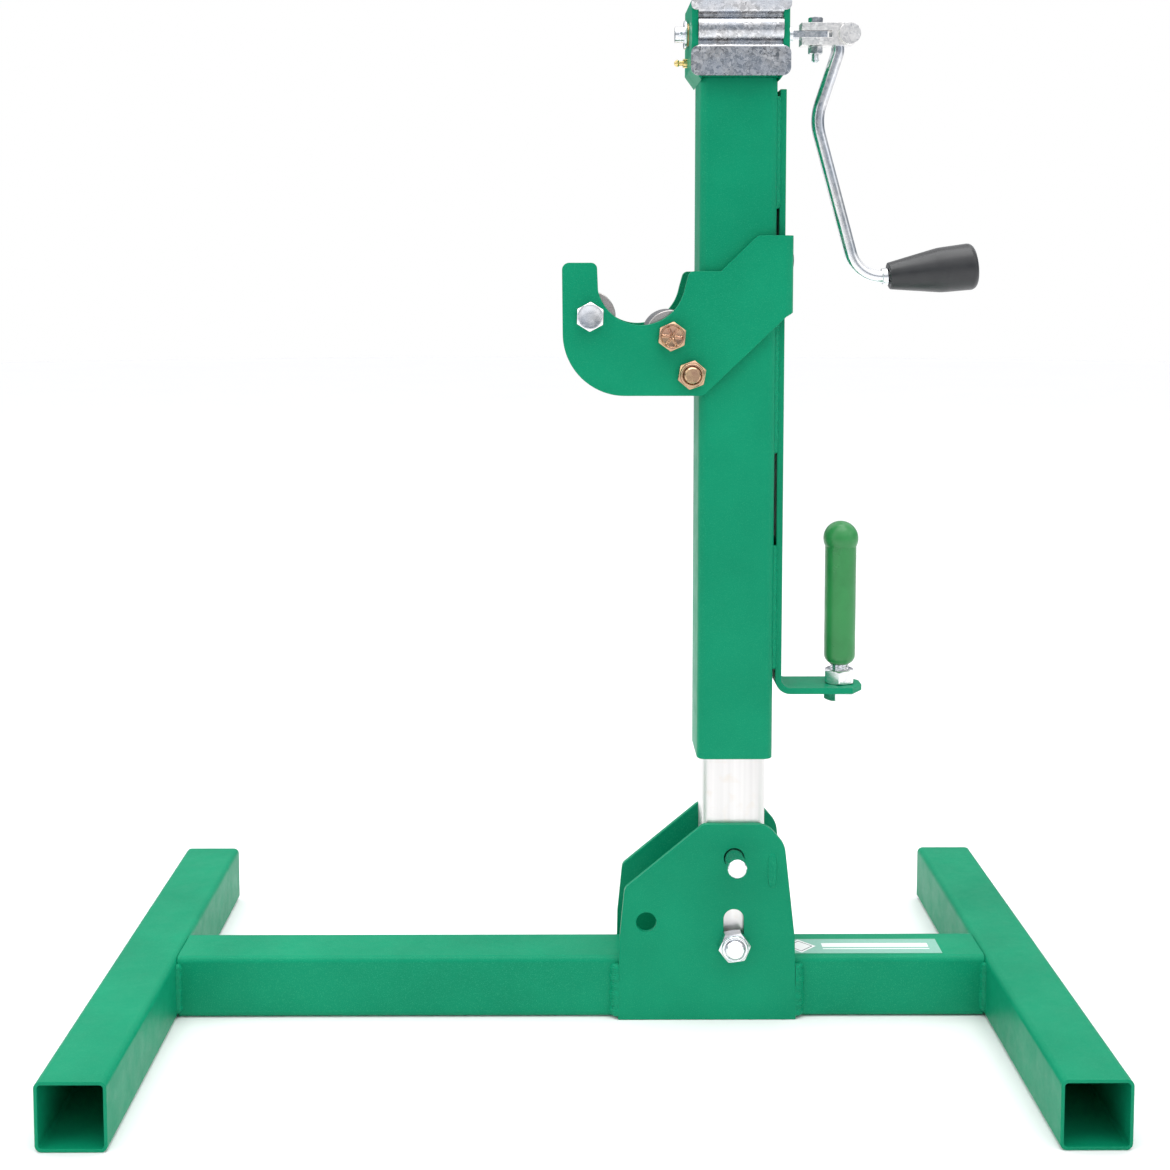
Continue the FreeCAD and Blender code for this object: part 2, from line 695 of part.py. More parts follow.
# ---------------------------------------------------------------- strap and carry handle
def strap():
    handle_x = size("handle_x")
    middle = (STRAP_IN + STRAP_OUT) / 2
    leg_end, half_width = 132.0, 25.4
    cut_along, cut_across = 12.0, 17.0
    owner = body("strap")
    section = sketch(owner, "XZ")
    leg_z = STRAP_LEG_Z + PLATE / 2
    outline(section, strip([(middle, 940.0), (middle, leg_z, 12.7), (leg_end, leg_z)], PLATE))
    pad(owner, section, 2 * half_width, symmetric=True)
    trims = sketch(owner, "XY")
    circle(trims, handle_x, 0, "Sizes.pin_rod")
    for side in (-1, 1):
        corner = [(leg_end - cut_along, side * half_width), (leg_end, side * (half_width - cut_across))]
        outline(trims, corner + [(leg_end + 5.0, side * (half_width + 5.0))])
    pocket_through(owner, trims)
    runs = ((361.0, 487.0), (580.0, 796.0), (823.0, 933.0))
    beads = [
        Part.makeBox(STRAP_IN - HALF_OUTER, 5.0, top - low, Vector(HALF_OUTER, y, low))
        for low, top in runs
        for y in (-half_width, half_width - 5.0)
    ]
    fused("strap_welds", Part.makeCompound(beads))
    leg_top = STRAP_LEG_Z + PLATE
    rod, flats = size("pin_rod"), size("big_hex")
    hex_bolt("handle_bolt", rod, flats, 136.0, 11.0, (handle_x, 0, STRAP_LEG_Z), "Z", 10)
    nut, bare_thread = 14.4, 5.9
    hex_nut("handle_nut", "Sizes.pin_rod", flats, nut, (handle_x, 0, leg_top), "Z", 20)
    low = leg_top + nut + bare_thread
    radius, ball, ball_z = size("handle_grip") / 2, 17.7, 490.0
    neck = ball_z - 17.0
    grip = body("handle_grip")
    profile = sketch(grip, "XZ")
    handle_section(profile, rod / 2, radius, ball, low, neck, ball_z)
    feature = grip.newObject("PartDesign::Revolution", "handle_grip_turned")
    feature.Profile = profile
    feature.ReferenceAxis = (profile, ["V_Axis"])
    feature.Angle = 360.0
    put(grip, (handle_x, 0, 0))


def handle_section(profile, bore, radius, ball, low, neck, ball_z):
    """Half section of the carry handle: a barrel with a rounded foot and a ball on top."""
    bolt_top = STRAP_LEG_Z + 136.0
    foot_high, foot_in = 9.0, 5.6
    foot_radius = (foot_high**2 + foot_in**2) / (2 * foot_in)
    half_turn = math.asin(foot_high / foot_radius) / 2
    side = math.sqrt(ball**2 - radius**2)
    meet = Vector(radius, ball_z - side, 0)
    crown = Vector(0, ball_z + ball, 0)
    middle = Vector(ball, ball_z, 0)
    lower = Vector(radius, low + foot_high, 0)
    heel = Vector(radius - foot_in, low, 0)
    swing = Vector(math.cos(half_turn) - 1, -math.sin(half_turn), 0)
    bend = lower + swing * foot_radius
    points = [Vector(bore, low, 0), Vector(bore, bolt_top, 0), Vector(0, bolt_top, 0), crown]
    lines = [Part.LineSegment(points[0], heel), Part.Arc(heel, bend, lower), Part.LineSegment(lower, meet)]
    lines += [Part.Arc(meet, middle, crown), Part.LineSegment(crown, points[2])]
    lines += [Part.LineSegment(points[2], points[1]), Part.LineSegment(points[1], points[0])]
    profile.addGeometry(lines, False)


# ---------------------------------------------------------------- cradle and rollers
def cradle():
    centre_x, centre_z = -96.0, 752.0
    radius = size("saddle_radius")
    bolt_hole = "Sizes.cradle_bolt + 0.8"
    holes = [(*axis, bolt_hole) for axis in ROLLER_AXES.values()]
    holes.append((LOCK_BOLT_X, LOCK_BOLT_Z, bolt_hole))
    corners = saddle_outline(centre_x, centre_z, radius)
    wings = doc.addObject("Sketcher::SketchObject", "cradle_outline")
    wings.Placement = FreeCAD.Placement(Vector(), Rotation(Vector(1, 0, 0), 90))
    wings.addGeometry(corners, False)
    for across, up, diameter in holes:
        circle(wings, across, up, diameter)
    blank = doc.addObject("Part::Extrusion", "cradle_blank")
    blank.Base, blank.DirMode, blank.Solid, blank.Symmetric = wings, "Normal", True, True
    blank.LengthFwd = 120.0
    wing_y, spine_x = (WING_IN + WING_OUT) / 2, (SPINE_IN + SPINE_OUT) / 2
    bend = 8.8
    path = [(-200.0, wing_y), (spine_x, wing_y, bend), (spine_x, -wing_y, bend), (-200.0, -wing_y)]
    channel = extruded("cradle_channel", "XY", strip(path, PLATE), 1700.0)
    bent = doc.addObject("Part::Common", "cradle_bent")
    bent.Base, bent.Tool = channel, blank
    hole = doc.addObject("Part::Cylinder", "spine_hole")
    hole.Radius, hole.Height = 4.9, 30.0
    hole.Placement = FreeCAD.Placement(Vector(SPINE_IN - 10.0, 0, SPINE_BOLT_Z), LAYS["X"])
    drilled = doc.addObject("Part::Cut", "cradle_plate")
    drilled.Base, drilled.Tool = bent, hole
    keep(drilled, "cradle_plate")
    shank = 4.7625
    dome = [(0, -PLATE), (shank, -PLATE), (shank, 0), (11.1, 0)]
    dome += [(11.1, 1.2, 0.5), (8.5, 4.2, 5.0), (0, 5.3)]
    turned("spine_bolt", dome, (SPINE_OUT, 0, SPINE_BOLT_Z), "X")


def saddle_outline(centre_x, centre_z, radius):
    """Wing outline: a hook, a round throat for the conduit, a high back and a long round heel."""
    left_angle, right_angle = math.radians(195), math.radians(350)
    left = Vector(centre_x + radius * math.cos(left_angle), centre_z + radius * math.sin(left_angle), 0)
    right = Vector(centre_x + radius * math.cos(right_angle), centre_z + radius * math.sin(right_angle), 0)
    corners = [
        (right.x, right.y),
        (-48.5, 761.4, 6.0),
        (-17.4, 761.4, 3.0),
        (18.5, 796.4, 8.0),
        (SPINE_OUT, 796.4),
        (SPINE_OUT, 720.6, 1.5),
        (46.6, 716.4, 4.0),
        (-34.5, 638.8, 9.0),
        (-172.6, 638.8, 61.5),
        (-173.8, 769.8, 7.0),
        (-139.5, 769.8, 6.0),
        (left.x - 0.4, left.y + 3.0),
        (left.x, left.y),
    ]
    edges = rounded(corners)[:-1]
    bottom = Vector(centre_x, centre_z - radius, 0)
    return edges + [Part.Arc(left, bottom, right)]


def cradle_hardware():
    rod, flats = size("cradle_bolt"), size("cradle_hex")
    span = 2 * WING_OUT
    head, nut = 10.3, 13.0
    for name, (x, z) in ROLLER_AXES.items():
        turn = 32 if name == "left" else 36
        hex_bolt(f"{name}_roller_bolt", rod, flats, span + nut + 5.0, head, (x, -WING_OUT, z), "Y", turn)
        hex_nut(f"{name}_roller_nut", "Sizes.cradle_bolt", flats, nut, (x, WING_OUT, z), "Y", 30)
        half = size("roller_length") / 2
        bore = rod / 2 + size("running")
        edge = size("roller") / 2
        shell = [(bore, -half), (edge, -half, 1.0), (edge, half, 1.0), (bore, half)]
        turned(f"{name}_roller", shell, (x, 0, z), "Y")
    at = (LOCK_BOLT_X, WING_OUT, LOCK_BOLT_Z)
    hex_bolt("lock_bolt", rod, flats, span + nut + 6.0, head, at, "-Y", 30)
    front = (LOCK_BOLT_X, -WING_OUT, LOCK_BOLT_Z)
    hex_nut("lock_bolt_nut", "Sizes.cradle_bolt", flats, 11.0, front, "-Y", 20, collar=3.6)


# ---------------------------------------------------------------- build, check and write
def write():
    doc.recompute()
    for item in doc.Objects:
        if "Invalid" in item.State or "Error" in item.State:
            raise RuntimeError(f"{item.Label} failed: {item.State}")
    os.makedirs("parts", exist_ok=True)
    for item in parts:
        shape = item.Shape
        if shape.isNull() or not shape.isValid() or not shape.Solids:
            raise RuntimeError(f"{item.Label} has no valid solid")
        shape.exportStep(f"parts/{item.Label}.step")
        spans = shape.BoundBox
        volume = shape.Volume / 1000
        print(f"{item.Label:18s} {len(shape.Solids)} solids, {volume:9.2f} cm3, z {spans.ZMin:7.1f}")
    print(len(parts), "sub-parts")


base()
ears()
pivot_and_pin()
mast_tubes()
head()
drive()
crank()
strap()
cradle()
cradle_hardware()
write()
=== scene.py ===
"""Height-adjustable conduit stand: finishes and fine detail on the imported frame, laid out as an add-on.

Lengths are metres in the frame's own axes: +X to the crank, +Y to the back, +Z up.
"""
import json
import math

import bmesh
import bpy
import numpy as np
from bpy.props import FloatProperty, FloatVectorProperty, IntProperty, PointerProperty
from mathutils import Matrix, Vector

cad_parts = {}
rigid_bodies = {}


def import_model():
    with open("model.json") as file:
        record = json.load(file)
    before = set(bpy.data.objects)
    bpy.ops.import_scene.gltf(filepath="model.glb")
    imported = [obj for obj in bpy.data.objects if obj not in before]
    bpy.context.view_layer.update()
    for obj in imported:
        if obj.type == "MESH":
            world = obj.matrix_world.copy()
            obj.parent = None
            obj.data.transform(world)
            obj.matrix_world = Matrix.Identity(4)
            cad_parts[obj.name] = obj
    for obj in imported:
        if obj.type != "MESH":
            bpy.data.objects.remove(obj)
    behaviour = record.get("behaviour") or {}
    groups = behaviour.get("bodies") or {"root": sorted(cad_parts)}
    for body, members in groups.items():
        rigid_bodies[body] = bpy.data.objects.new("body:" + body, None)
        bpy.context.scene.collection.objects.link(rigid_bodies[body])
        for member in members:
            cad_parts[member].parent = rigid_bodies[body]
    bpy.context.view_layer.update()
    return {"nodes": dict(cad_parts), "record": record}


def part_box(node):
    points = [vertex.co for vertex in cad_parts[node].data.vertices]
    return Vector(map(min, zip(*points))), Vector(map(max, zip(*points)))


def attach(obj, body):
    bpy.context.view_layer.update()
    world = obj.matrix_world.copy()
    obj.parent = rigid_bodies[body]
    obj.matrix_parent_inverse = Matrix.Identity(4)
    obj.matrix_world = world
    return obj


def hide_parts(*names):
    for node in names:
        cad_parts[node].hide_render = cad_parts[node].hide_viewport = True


bl_info = {
    "name": "Conduit Stand",
    "version": (1, 0, 0),
    "blender": (4, 5, 0),
    "location": "View3D > Sidebar > Stand",
    "description": "Finishes, welds and hardware of a height-adjustable conduit stand",
    "category": "Object",
}

# The start-up scene's own objects are cleared before the frame comes in.
for leftover in list(bpy.data.objects):
    bpy.data.objects.remove(leftover)
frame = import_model()
MAST_X = sum(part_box("outer_tube")[end][0] for end in (0, 1)) / 2
FULL_TURN = 2 * math.pi

# Proportions of hex hardware, as shares of the width across its flats.
WASHER_FACE = 0.47
CHAMFER_START = 0.475
CHAMFER_FALL = math.tan(math.radians(30))
CROWN_EDGE = 0.455


# ---------------------------------------------------------------- properties
class StandFinish(bpy.types.PropertyGroup):
    """Colours of the stand's finishes."""

    paint: FloatVectorProperty(
        name="Powder coat", description="Green of the welded parts", subtype="COLOR",
        default=(0.0, 0.248, 0.122), min=0, max=1)
    zinc: FloatVectorProperty(
        name="Bright zinc", description="Plating of the crank, cover and bolts", subtype="COLOR",
        default=(0.90, 0.90, 0.90), min=0, max=1)
    yellow_zinc: FloatVectorProperty(
        name="Yellow zinc", description="Passivated plating of two of the cradle's bolts",
        subtype="COLOR", default=(0.68, 0.48, 0.28), min=0, max=1)
    handle: FloatVectorProperty(
        name="Carry handle", description="Moulded green plastic", subtype="COLOR",
        default=(0.022, 0.235, 0.058), min=0, max=1)
    crank_handle: FloatVectorProperty(
        name="Crank handle", description="Moulded black plastic", subtype="COLOR",
        default=(0.020, 0.021, 0.023), min=0, max=1)
    tube: FloatVectorProperty(
        name="Inner tube", description="Bright drawn tube", subtype="COLOR",
        default=(0.80, 0.785, 0.770), min=0, max=1)


class StandDetail(bpy.types.PropertyGroup):
    """Sizes of the detail added to the frame."""

    eased_edge: FloatProperty(
        name="Eased edge", description="Radius on the cut edges of plates and tubes",
        default=0.0006, min=0.0001, max=0.002, unit="LENGTH", precision=4)
    ripple: FloatProperty(
        name="Weld ripple", description="Distance between the ripples of a weld bead",
        default=0.0021, min=0.001, max=0.006, unit="LENGTH", precision=4)
    screw_lead: FloatProperty(
        name="Screw lead", description="Rise of the lift screw in one turn",
        default=0.00635, min=0.002, max=0.02, unit="LENGTH", precision=5)
    segments: IntProperty(
        name="Hardware segments", description="Columns round each bolt and nut",
        default=96, min=48, max=144, step=12)


class StandStage(bpy.types.PropertyGroup):
    """Light and floor."""

    floor_tone: FloatVectorProperty(
        name="Floor", description="Pale studio floor", subtype="COLOR",
        default=(0.93, 0.93, 0.93), min=0, max=1)
    key_power: FloatProperty(
        name="Key light", description="Power of the large soft box above the stand",
        default=52.0, min=0, max=500, unit="POWER")
    surround: FloatProperty(
        name="Surround", description="Brightness of the studio's walls",
        default=1.42, min=0, max=4)


# ---------------------------------------------------------------- meshes from arrays
def skin(rings, loop=False):
    """Points and faces of a closed surface over rings[row, column] = (x, y, z).

    Columns always join up. Rows join up as well where loop is set; otherwise the middle of
    the first and of the last ring is one more point, and a fan of triangles closes each end.
    The faces are reversed if the enclosed volume comes out negative, so they point outwards.
    """
    rows, columns = rings.shape[:2]
    points = rings.reshape(-1, 3)
    index = np.arange(rows * columns).reshape(rows, columns)
    if loop:
        index = np.vstack([index, index[:1]])
    right = np.roll(index, -1, axis=1)
    quads = np.stack([index[:-1], right[:-1], right[1:], index[1:]], axis=-1).reshape(-1, 4)
    fans = np.empty((0, 3), int)
    if not loop:
        low, high = len(points), len(points) + 1
        points = np.vstack([points, rings[0].mean(axis=0), rings[-1].mean(axis=0)])
        first, last = index[0], index[-1]
        under = np.stack([np.full(columns, low), np.roll(first, -1), first], axis=-1)
        over = np.stack([np.full(columns, high), last, np.roll(last, -1)], axis=-1)
        fans = np.vstack([under, over])
    triangles = np.vstack([quads[:, [0, 1, 2]], quads[:, [0, 2, 3]], fans])
    a, b, c = (points[triangles[:, corner]] for corner in range(3))
    if np.einsum("ij,ij->i", a - points.mean(axis=0), np.cross(b - a, c - a)).sum() < 0:
        quads, fans = quads[:, ::-1], fans[:, ::-1]
    return points, quads.tolist() + fans.tolist()


def joined(*skins):
    """Several closed surfaces as the points and faces of one mesh."""
    points, faces, start = [], [], 0
    for some_points, some_faces in skins:
        faces += [[corner + start for corner in face] for face in some_faces]
        points.append(some_points)
        start += len(some_points)
    return np.vstack(points), faces


def piece(name, shape, body, finish, stands_for=(), sharp=32.0):
    """Put points and faces into an object that rides on a body and wears a finish."""
    points, faces = shape
    mesh = bpy.data.meshes.new(name)
    mesh.from_pydata(points.tolist(), [], faces)
    mesh.update()
    return dressed(name, mesh, body, finish, stands_for, sharp)


def dressed(name, mesh, body, finish, stands_for, sharp=32.0):
    """An object at the origin for a finished mesh, with its finish and body."""
    mesh.polygons.foreach_set("use_smooth", np.ones(len(mesh.polygons), bool))
    mesh.set_sharp_from_angle(angle=math.radians(sharp))
    thing = bpy.data.objects.new(name, mesh)
    bpy.context.scene.collection.objects.link(thing)
    material, slot = FINISHES[finish]
    mesh.materials.clear()
    mesh.materials.append(made(material))
    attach(thing, body)
    if stands_for:
        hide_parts(*stands_for)
    return thing


def body_holding(node):
    """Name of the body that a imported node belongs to."""
    bodies = frame["record"]["behaviour"]["bodies"]
    return next(name for name, nodes in bodies.items() if node in nodes)


LAYS = {
    "+Y": ((1, 0, 0), (0, 0, 1), (0, -1, 0)),
    "-Y": ((1, 0, 0), (0, 0, -1), (0, 1, 0)),
    "+Z": ((1, 0, 0), (0, 1, 0), (0, 0, 1)),
    "-Z": ((1, 0, 0), (0, -1, 0), (0, 0, -1)),
}


def laid(points, lay, at):
    """Points drawn along +Z, turned so that they run along an axis, and moved to a place."""
    return points @ np.array(LAYS[lay], float).T + np.array(at, float)


def seat(node, lay, head=0.0):
    """Centre of a packed bolt or nut, on its bearing face: head is the depth that stands behind it."""
    low, high = (np.array(corner, float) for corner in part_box(node))
    at = (low + high) / 2
    axis = "XYZ".index(lay[1])
    at[axis] = low[axis] + head if lay[0] == "+" else high[axis] - head
    return at, high[axis] - low[axis]


# ---------------------------------------------------------------- hex hardware
def hex_reach(angles, flats, turn):
    """Distance from the axis to a hexagon's side at each angle: half the flats over the cosine
    of the angle to the nearest side's middle."""
    off = np.mod(angles - turn, FULL_TURN / 6) - FULL_TURN / 12
    return flats / 2 / np.cos(off)


def columns_round():
    """Angles of the columns round a bolt or nut, spread evenly over one turn."""
    count = bpy.context.scene.stand_detail.segments
    return np.arange(count) * FULL_TURN / count


def ring_stack(radii, heights, angles):
    """Rings from radius and height tables: x = r cos a, y = r sin a, z = h."""
    return np.stack([radii * np.cos(angles), radii * np.sin(angles), heights], axis=-1)


def crown_rows(angles, flats, turn, height, marks=0):
    """Rows from near the axis out to the hexagon's edge over a chamfered face at a height.

    The height falls by tan 30 of the distance outside a circle 0.95 of the flats across. A
    marked head has raised spokes that point to its sides.
    """
    inner = flats * np.array([0.04, 0.10, 0.14, 0.18, 0.22, 0.27, 0.32, 0.37, 0.40, 0.43, CROWN_EDGE])
    reach = hex_reach(angles, flats, turn)
    round_rows = np.repeat(inner[:, None], len(angles), axis=1)
    share = np.linspace(0.0, 1.0, 6)[1:, None]
    edge_rows = flats * CROWN_EDGE + (reach - flats * CROWN_EDGE) * share
    radii = np.vstack([round_rows, edge_rows])
    drop = np.clip(radii - flats * CHAMFER_START, 0, None) * CHAMFER_FALL
    dish = 0.02 * flats * np.exp(-((radii / (0.36 * flats)) ** 6))
    heights = height - drop - dish
    if marks:
        spoke = np.abs(np.mod(angles - turn, FULL_TURN / marks) - FULL_TURN / marks / 2)
        line = np.exp(-((radii * spoke / (0.038 * flats)) ** 4))
        band = (radii > 0.09 * flats) & (radii < 0.38 * flats)
        heights = heights - 0.030 * flats * (radii < 0.415 * flats) + 0.050 * flats * line * band
    return radii, heights


def thread_rows(angles, radius, pitch, low, high):
    """Rows of a screw thread: the radius dips as a rounded triangle wave of height/pitch less
    angle/turn, and fades in over the first pitch and out over the last."""
    count = max(int(round((high - low) / pitch * 8)), 8)
    heights = np.linspace(low, high, count)[:, None] + 0 * angles
    phase = np.mod(heights / pitch - angles / FULL_TURN, 1.0)
    wave = np.abs(2 * phase - 1)
    fade = np.clip(np.minimum(heights - low, high - heights) / pitch, 0, 1)
    return radius - 0.54 * pitch * np.clip(wave * 1.25 - 0.12, 0, 1) * fade, heights


def bolt(node, lay, rod, flats, head, turn, pitch, threaded, marks=0):
    """One hex bolt in place: crown, sides, washer face, shank, thread and chamfered end."""
    at, whole = seat(node, lay, head)
    grip = whole - head
    angles = columns_round()
    turn = math.radians(turn)
    radii, heights = crown_rows(angles, flats, turn, head, marks)
    reach = hex_reach(angles, flats, turn)
    washer, end_chamfer, radius = 0.0004, 0.0012, rod / 2
    flat = np.ones_like(angles)
    tables = [
        (radii, -heights),
        (np.stack([reach, reach]), np.stack([-head * 0.5 * flat, -washer * flat])),
        (np.stack([WASHER_FACE * flats * flat] * 2), np.stack([-washer * flat, 0 * flat])),
        (np.stack([radius * flat] * 2), np.stack([0 * flat, (grip - threaded) * flat])),
        thread_rows(angles, radius, pitch, grip - threaded, grip - end_chamfer - 0.0001),
        (np.stack([radius * flat, (radius - end_chamfer) * flat]),
         np.stack([(grip - end_chamfer) * flat, grip * flat])),
    ]
    radii = np.vstack([table[0] for table in tables])
    heights = np.vstack([table[1] for table in tables])
    points, faces = skin(ring_stack(radii, heights, angles))
    return laid(points, lay, at), faces


def nut(node, lay, rod, flats, turn, collar=0.0):
    """One hex nut in place, chamfered on both faces and at its bore's mouth; a lock nut ends in a
    rolled round collar."""
    at, whole = seat(node, lay)
    angles = columns_round()
    turn = math.radians(turn)
    reach = hex_reach(angles, flats, turn)
    flat = np.ones_like(angles)
    bore, mouth = rod / 2 + 0.00002, 0.0006
    hexed = whole - collar
    share = np.linspace(0.0, 1.0, 5)[:, None]
    slope = CHAMFER_START * flats + (reach - CHAMFER_START * flats) * share
    fall = np.clip(slope - CHAMFER_START * flats, 0, None) * CHAMFER_FALL
    rows = [(np.stack([bore * flat, (bore + mouth) * flat]), np.stack([mouth * flat, 0 * flat]))]
    rows.append((slope, fall))
    rows.append((slope[::-1], hexed - fall[::-1]))
    if collar:
        curl = np.linspace(0.0, math.pi * 0.8, 9)[:, None]
        wide, thick = WASHER_FACE * flats, 0.0019
        rows.append((wide * flat[None], hexed * flat[None]))
        rows.append((wide - thick * (1 - np.cos(curl)) * flat, whole - thick * (1 - np.sin(curl)) * flat))
        rows.append((np.stack([(wide - 1.85 * thick) * flat, (bore + 0.0003) * flat, bore * flat]),
                     np.stack([(whole - 0.0013) * flat, (whole - 0.0013) * flat, (whole - 0.0016) * flat])))
    else:
        rows.append((np.stack([(bore + mouth) * flat, bore * flat]),
                     np.stack([hexed * flat, (hexed - mouth) * flat])))
    radii = np.vstack([row[0] for row in rows])
    heights = np.vstack([row[1] for row in rows])
    points, faces = skin(ring_stack(radii, heights, angles), loop=True)
    return laid(points, lay, at), faces


def fitted(node, shape, finish):
    """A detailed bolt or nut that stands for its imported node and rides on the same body."""
    return piece(f"{node}_detail", shape, body_holding(node), finish, (node,))


# ---------------------------------------------------------------- welds
def fillet_bead(corner, toward, leg, low, high, seed, spread=1.0, lap=0.0):
    """A rippled fillet weld up an inside corner.

    Across the bead, u runs from one wall to the other on a bulged line: leg times
    (spread (1 - u), u), pushed out by a half sine, and lap carries its last edge over the second
    wall's eased corner. Along it, crescents add a rectified sine of height over the ripple, bent
    by (2u - 1) squared, and two slow sines make its width wander.
    """
    ripple = bpy.context.scene.stand_detail.ripple
    tapered_end, root = 0.003, 0.0004
    count = int((high - low) / ripple * 7)
    z = np.linspace(low, high, count)[:, None]
    u = np.linspace(0, 1, 15)[None, :]
    ends = np.clip(np.minimum(z - low, high - z) / tapered_end, 0, 1) ** 0.5
    wander = 1 + 0.06 * np.sin(z * 310 + seed) + 0.04 * np.sin(z * 733 + 2.1 * seed)
    wide = leg * wander * (0.55 + 0.45 * ends)
    crescent = np.abs(np.sin(math.pi * (z / ripple + 0.55 * (2 * u - 1) ** 2 + 0.12 * seed)))
    out = (0.16 + 0.09 * crescent) * np.sin(math.pi * u) * wide
    x = spread * (1 - u) * wide + out * math.sqrt(0.5) - lap * u ** 6
    y = u * wide + out * math.sqrt(0.5)
    x = np.concatenate([x, -root + 0 * z], axis=1)
    y = np.concatenate([y, -root + 0 * z], axis=1)
    up = z + 0 * x
    return skin(np.stack([corner[0] + toward[0] * x, corner[1] + toward[1] * y, up], axis=-1))


def plug_weld(middle, half_wide, half_tall, outward):
    """A slot weld dressed nearly flush: on an oval of polar radius p and angle a, the height is a
    low dome with a sunk middle and a few ripples, and its skirt goes below the plate's face."""
    proud, ripple, sunk, skirt = 0.0014, 0.0011, 0.0001, 0.0012
    p = np.linspace(0.06, 1.0, 18)[:, None]
    a = np.linspace(0, FULL_TURN, 72, endpoint=False)[None, :]
    squash = (np.abs(np.cos(a)) ** 3 + np.abs(np.sin(a)) ** 3) ** (-1 / 3)
    x = middle[0] + half_wide * p * squash * np.cos(a)
    z = middle[2] + half_tall * p * squash * np.sin(a)
    dome = np.sqrt(np.clip(1 - p ** 4, 0, None)) * (0.62 + 0.38 * p ** 2)
    ripples = 0.10 * np.sin((z - middle[2]) / ripple + 3 * p) * (1 - p)
    height = proud * (dome + ripples) - sunk
    y = middle[1] + outward * height
    top = np.stack([x + 0 * y, y, z + 0 * y], axis=-1)
    under = top[-1:] + np.array([0, -outward * skirt, 0])
    return skin(np.concatenate([top, under]))


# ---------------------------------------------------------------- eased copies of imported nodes
def eased(node, finish, edge, sharp=32.0):
    """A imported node's shape with its cut edges rounded: merged, flat faces joined, then bevelled."""
    mesh = frame["nodes"][node].data.copy()
    mesh.name = f"{node}_eased"
    shape = bmesh.new()
    shape.from_mesh(mesh)
    bmesh.ops.remove_doubles(shape, verts=shape.verts[:], dist=1e-6)
    bmesh.ops.dissolve_limit(shape, angle_limit=math.radians(0.6), verts=shape.verts[:],
                             edges=shape.edges[:], delimit={"NORMAL"})
    shape.to_mesh(mesh)
    shape.free()
    thing = dressed(f"{node}_eased", mesh, body_holding(node), finish, (node,), sharp)
    bevel = thing.modifiers.new("Eased edges", "BEVEL")
    bevel.width = edge
    bevel.segments = 3
    bevel.limit_method = "ANGLE"
    bevel.angle_limit = math.radians(40)
    bevel.use_clamp_overlap = True
    bevel.harden_normals = True
    return thing


# ---------------------------------------------------------------- finishes
def blank_material(name):
    """An empty node tree with its output and one Principled shader, already linked."""
    material = bpy.data.materials.new(name)
    material.use_nodes = True
    material.node_tree.nodes.clear()
    nodes, links = material.node_tree.nodes, material.node_tree.links
    output = nodes.new("ShaderNodeOutputMaterial")
    output.label = "Surface"
    output.location = (700, 0)
    shader = nodes.new("ShaderNodeBsdfPrincipled")
    shader.label = name
    shader.location = (380, 0)
    links.new(shader.outputs["BSDF"], output.inputs["Surface"])
    return material, nodes, links, shader


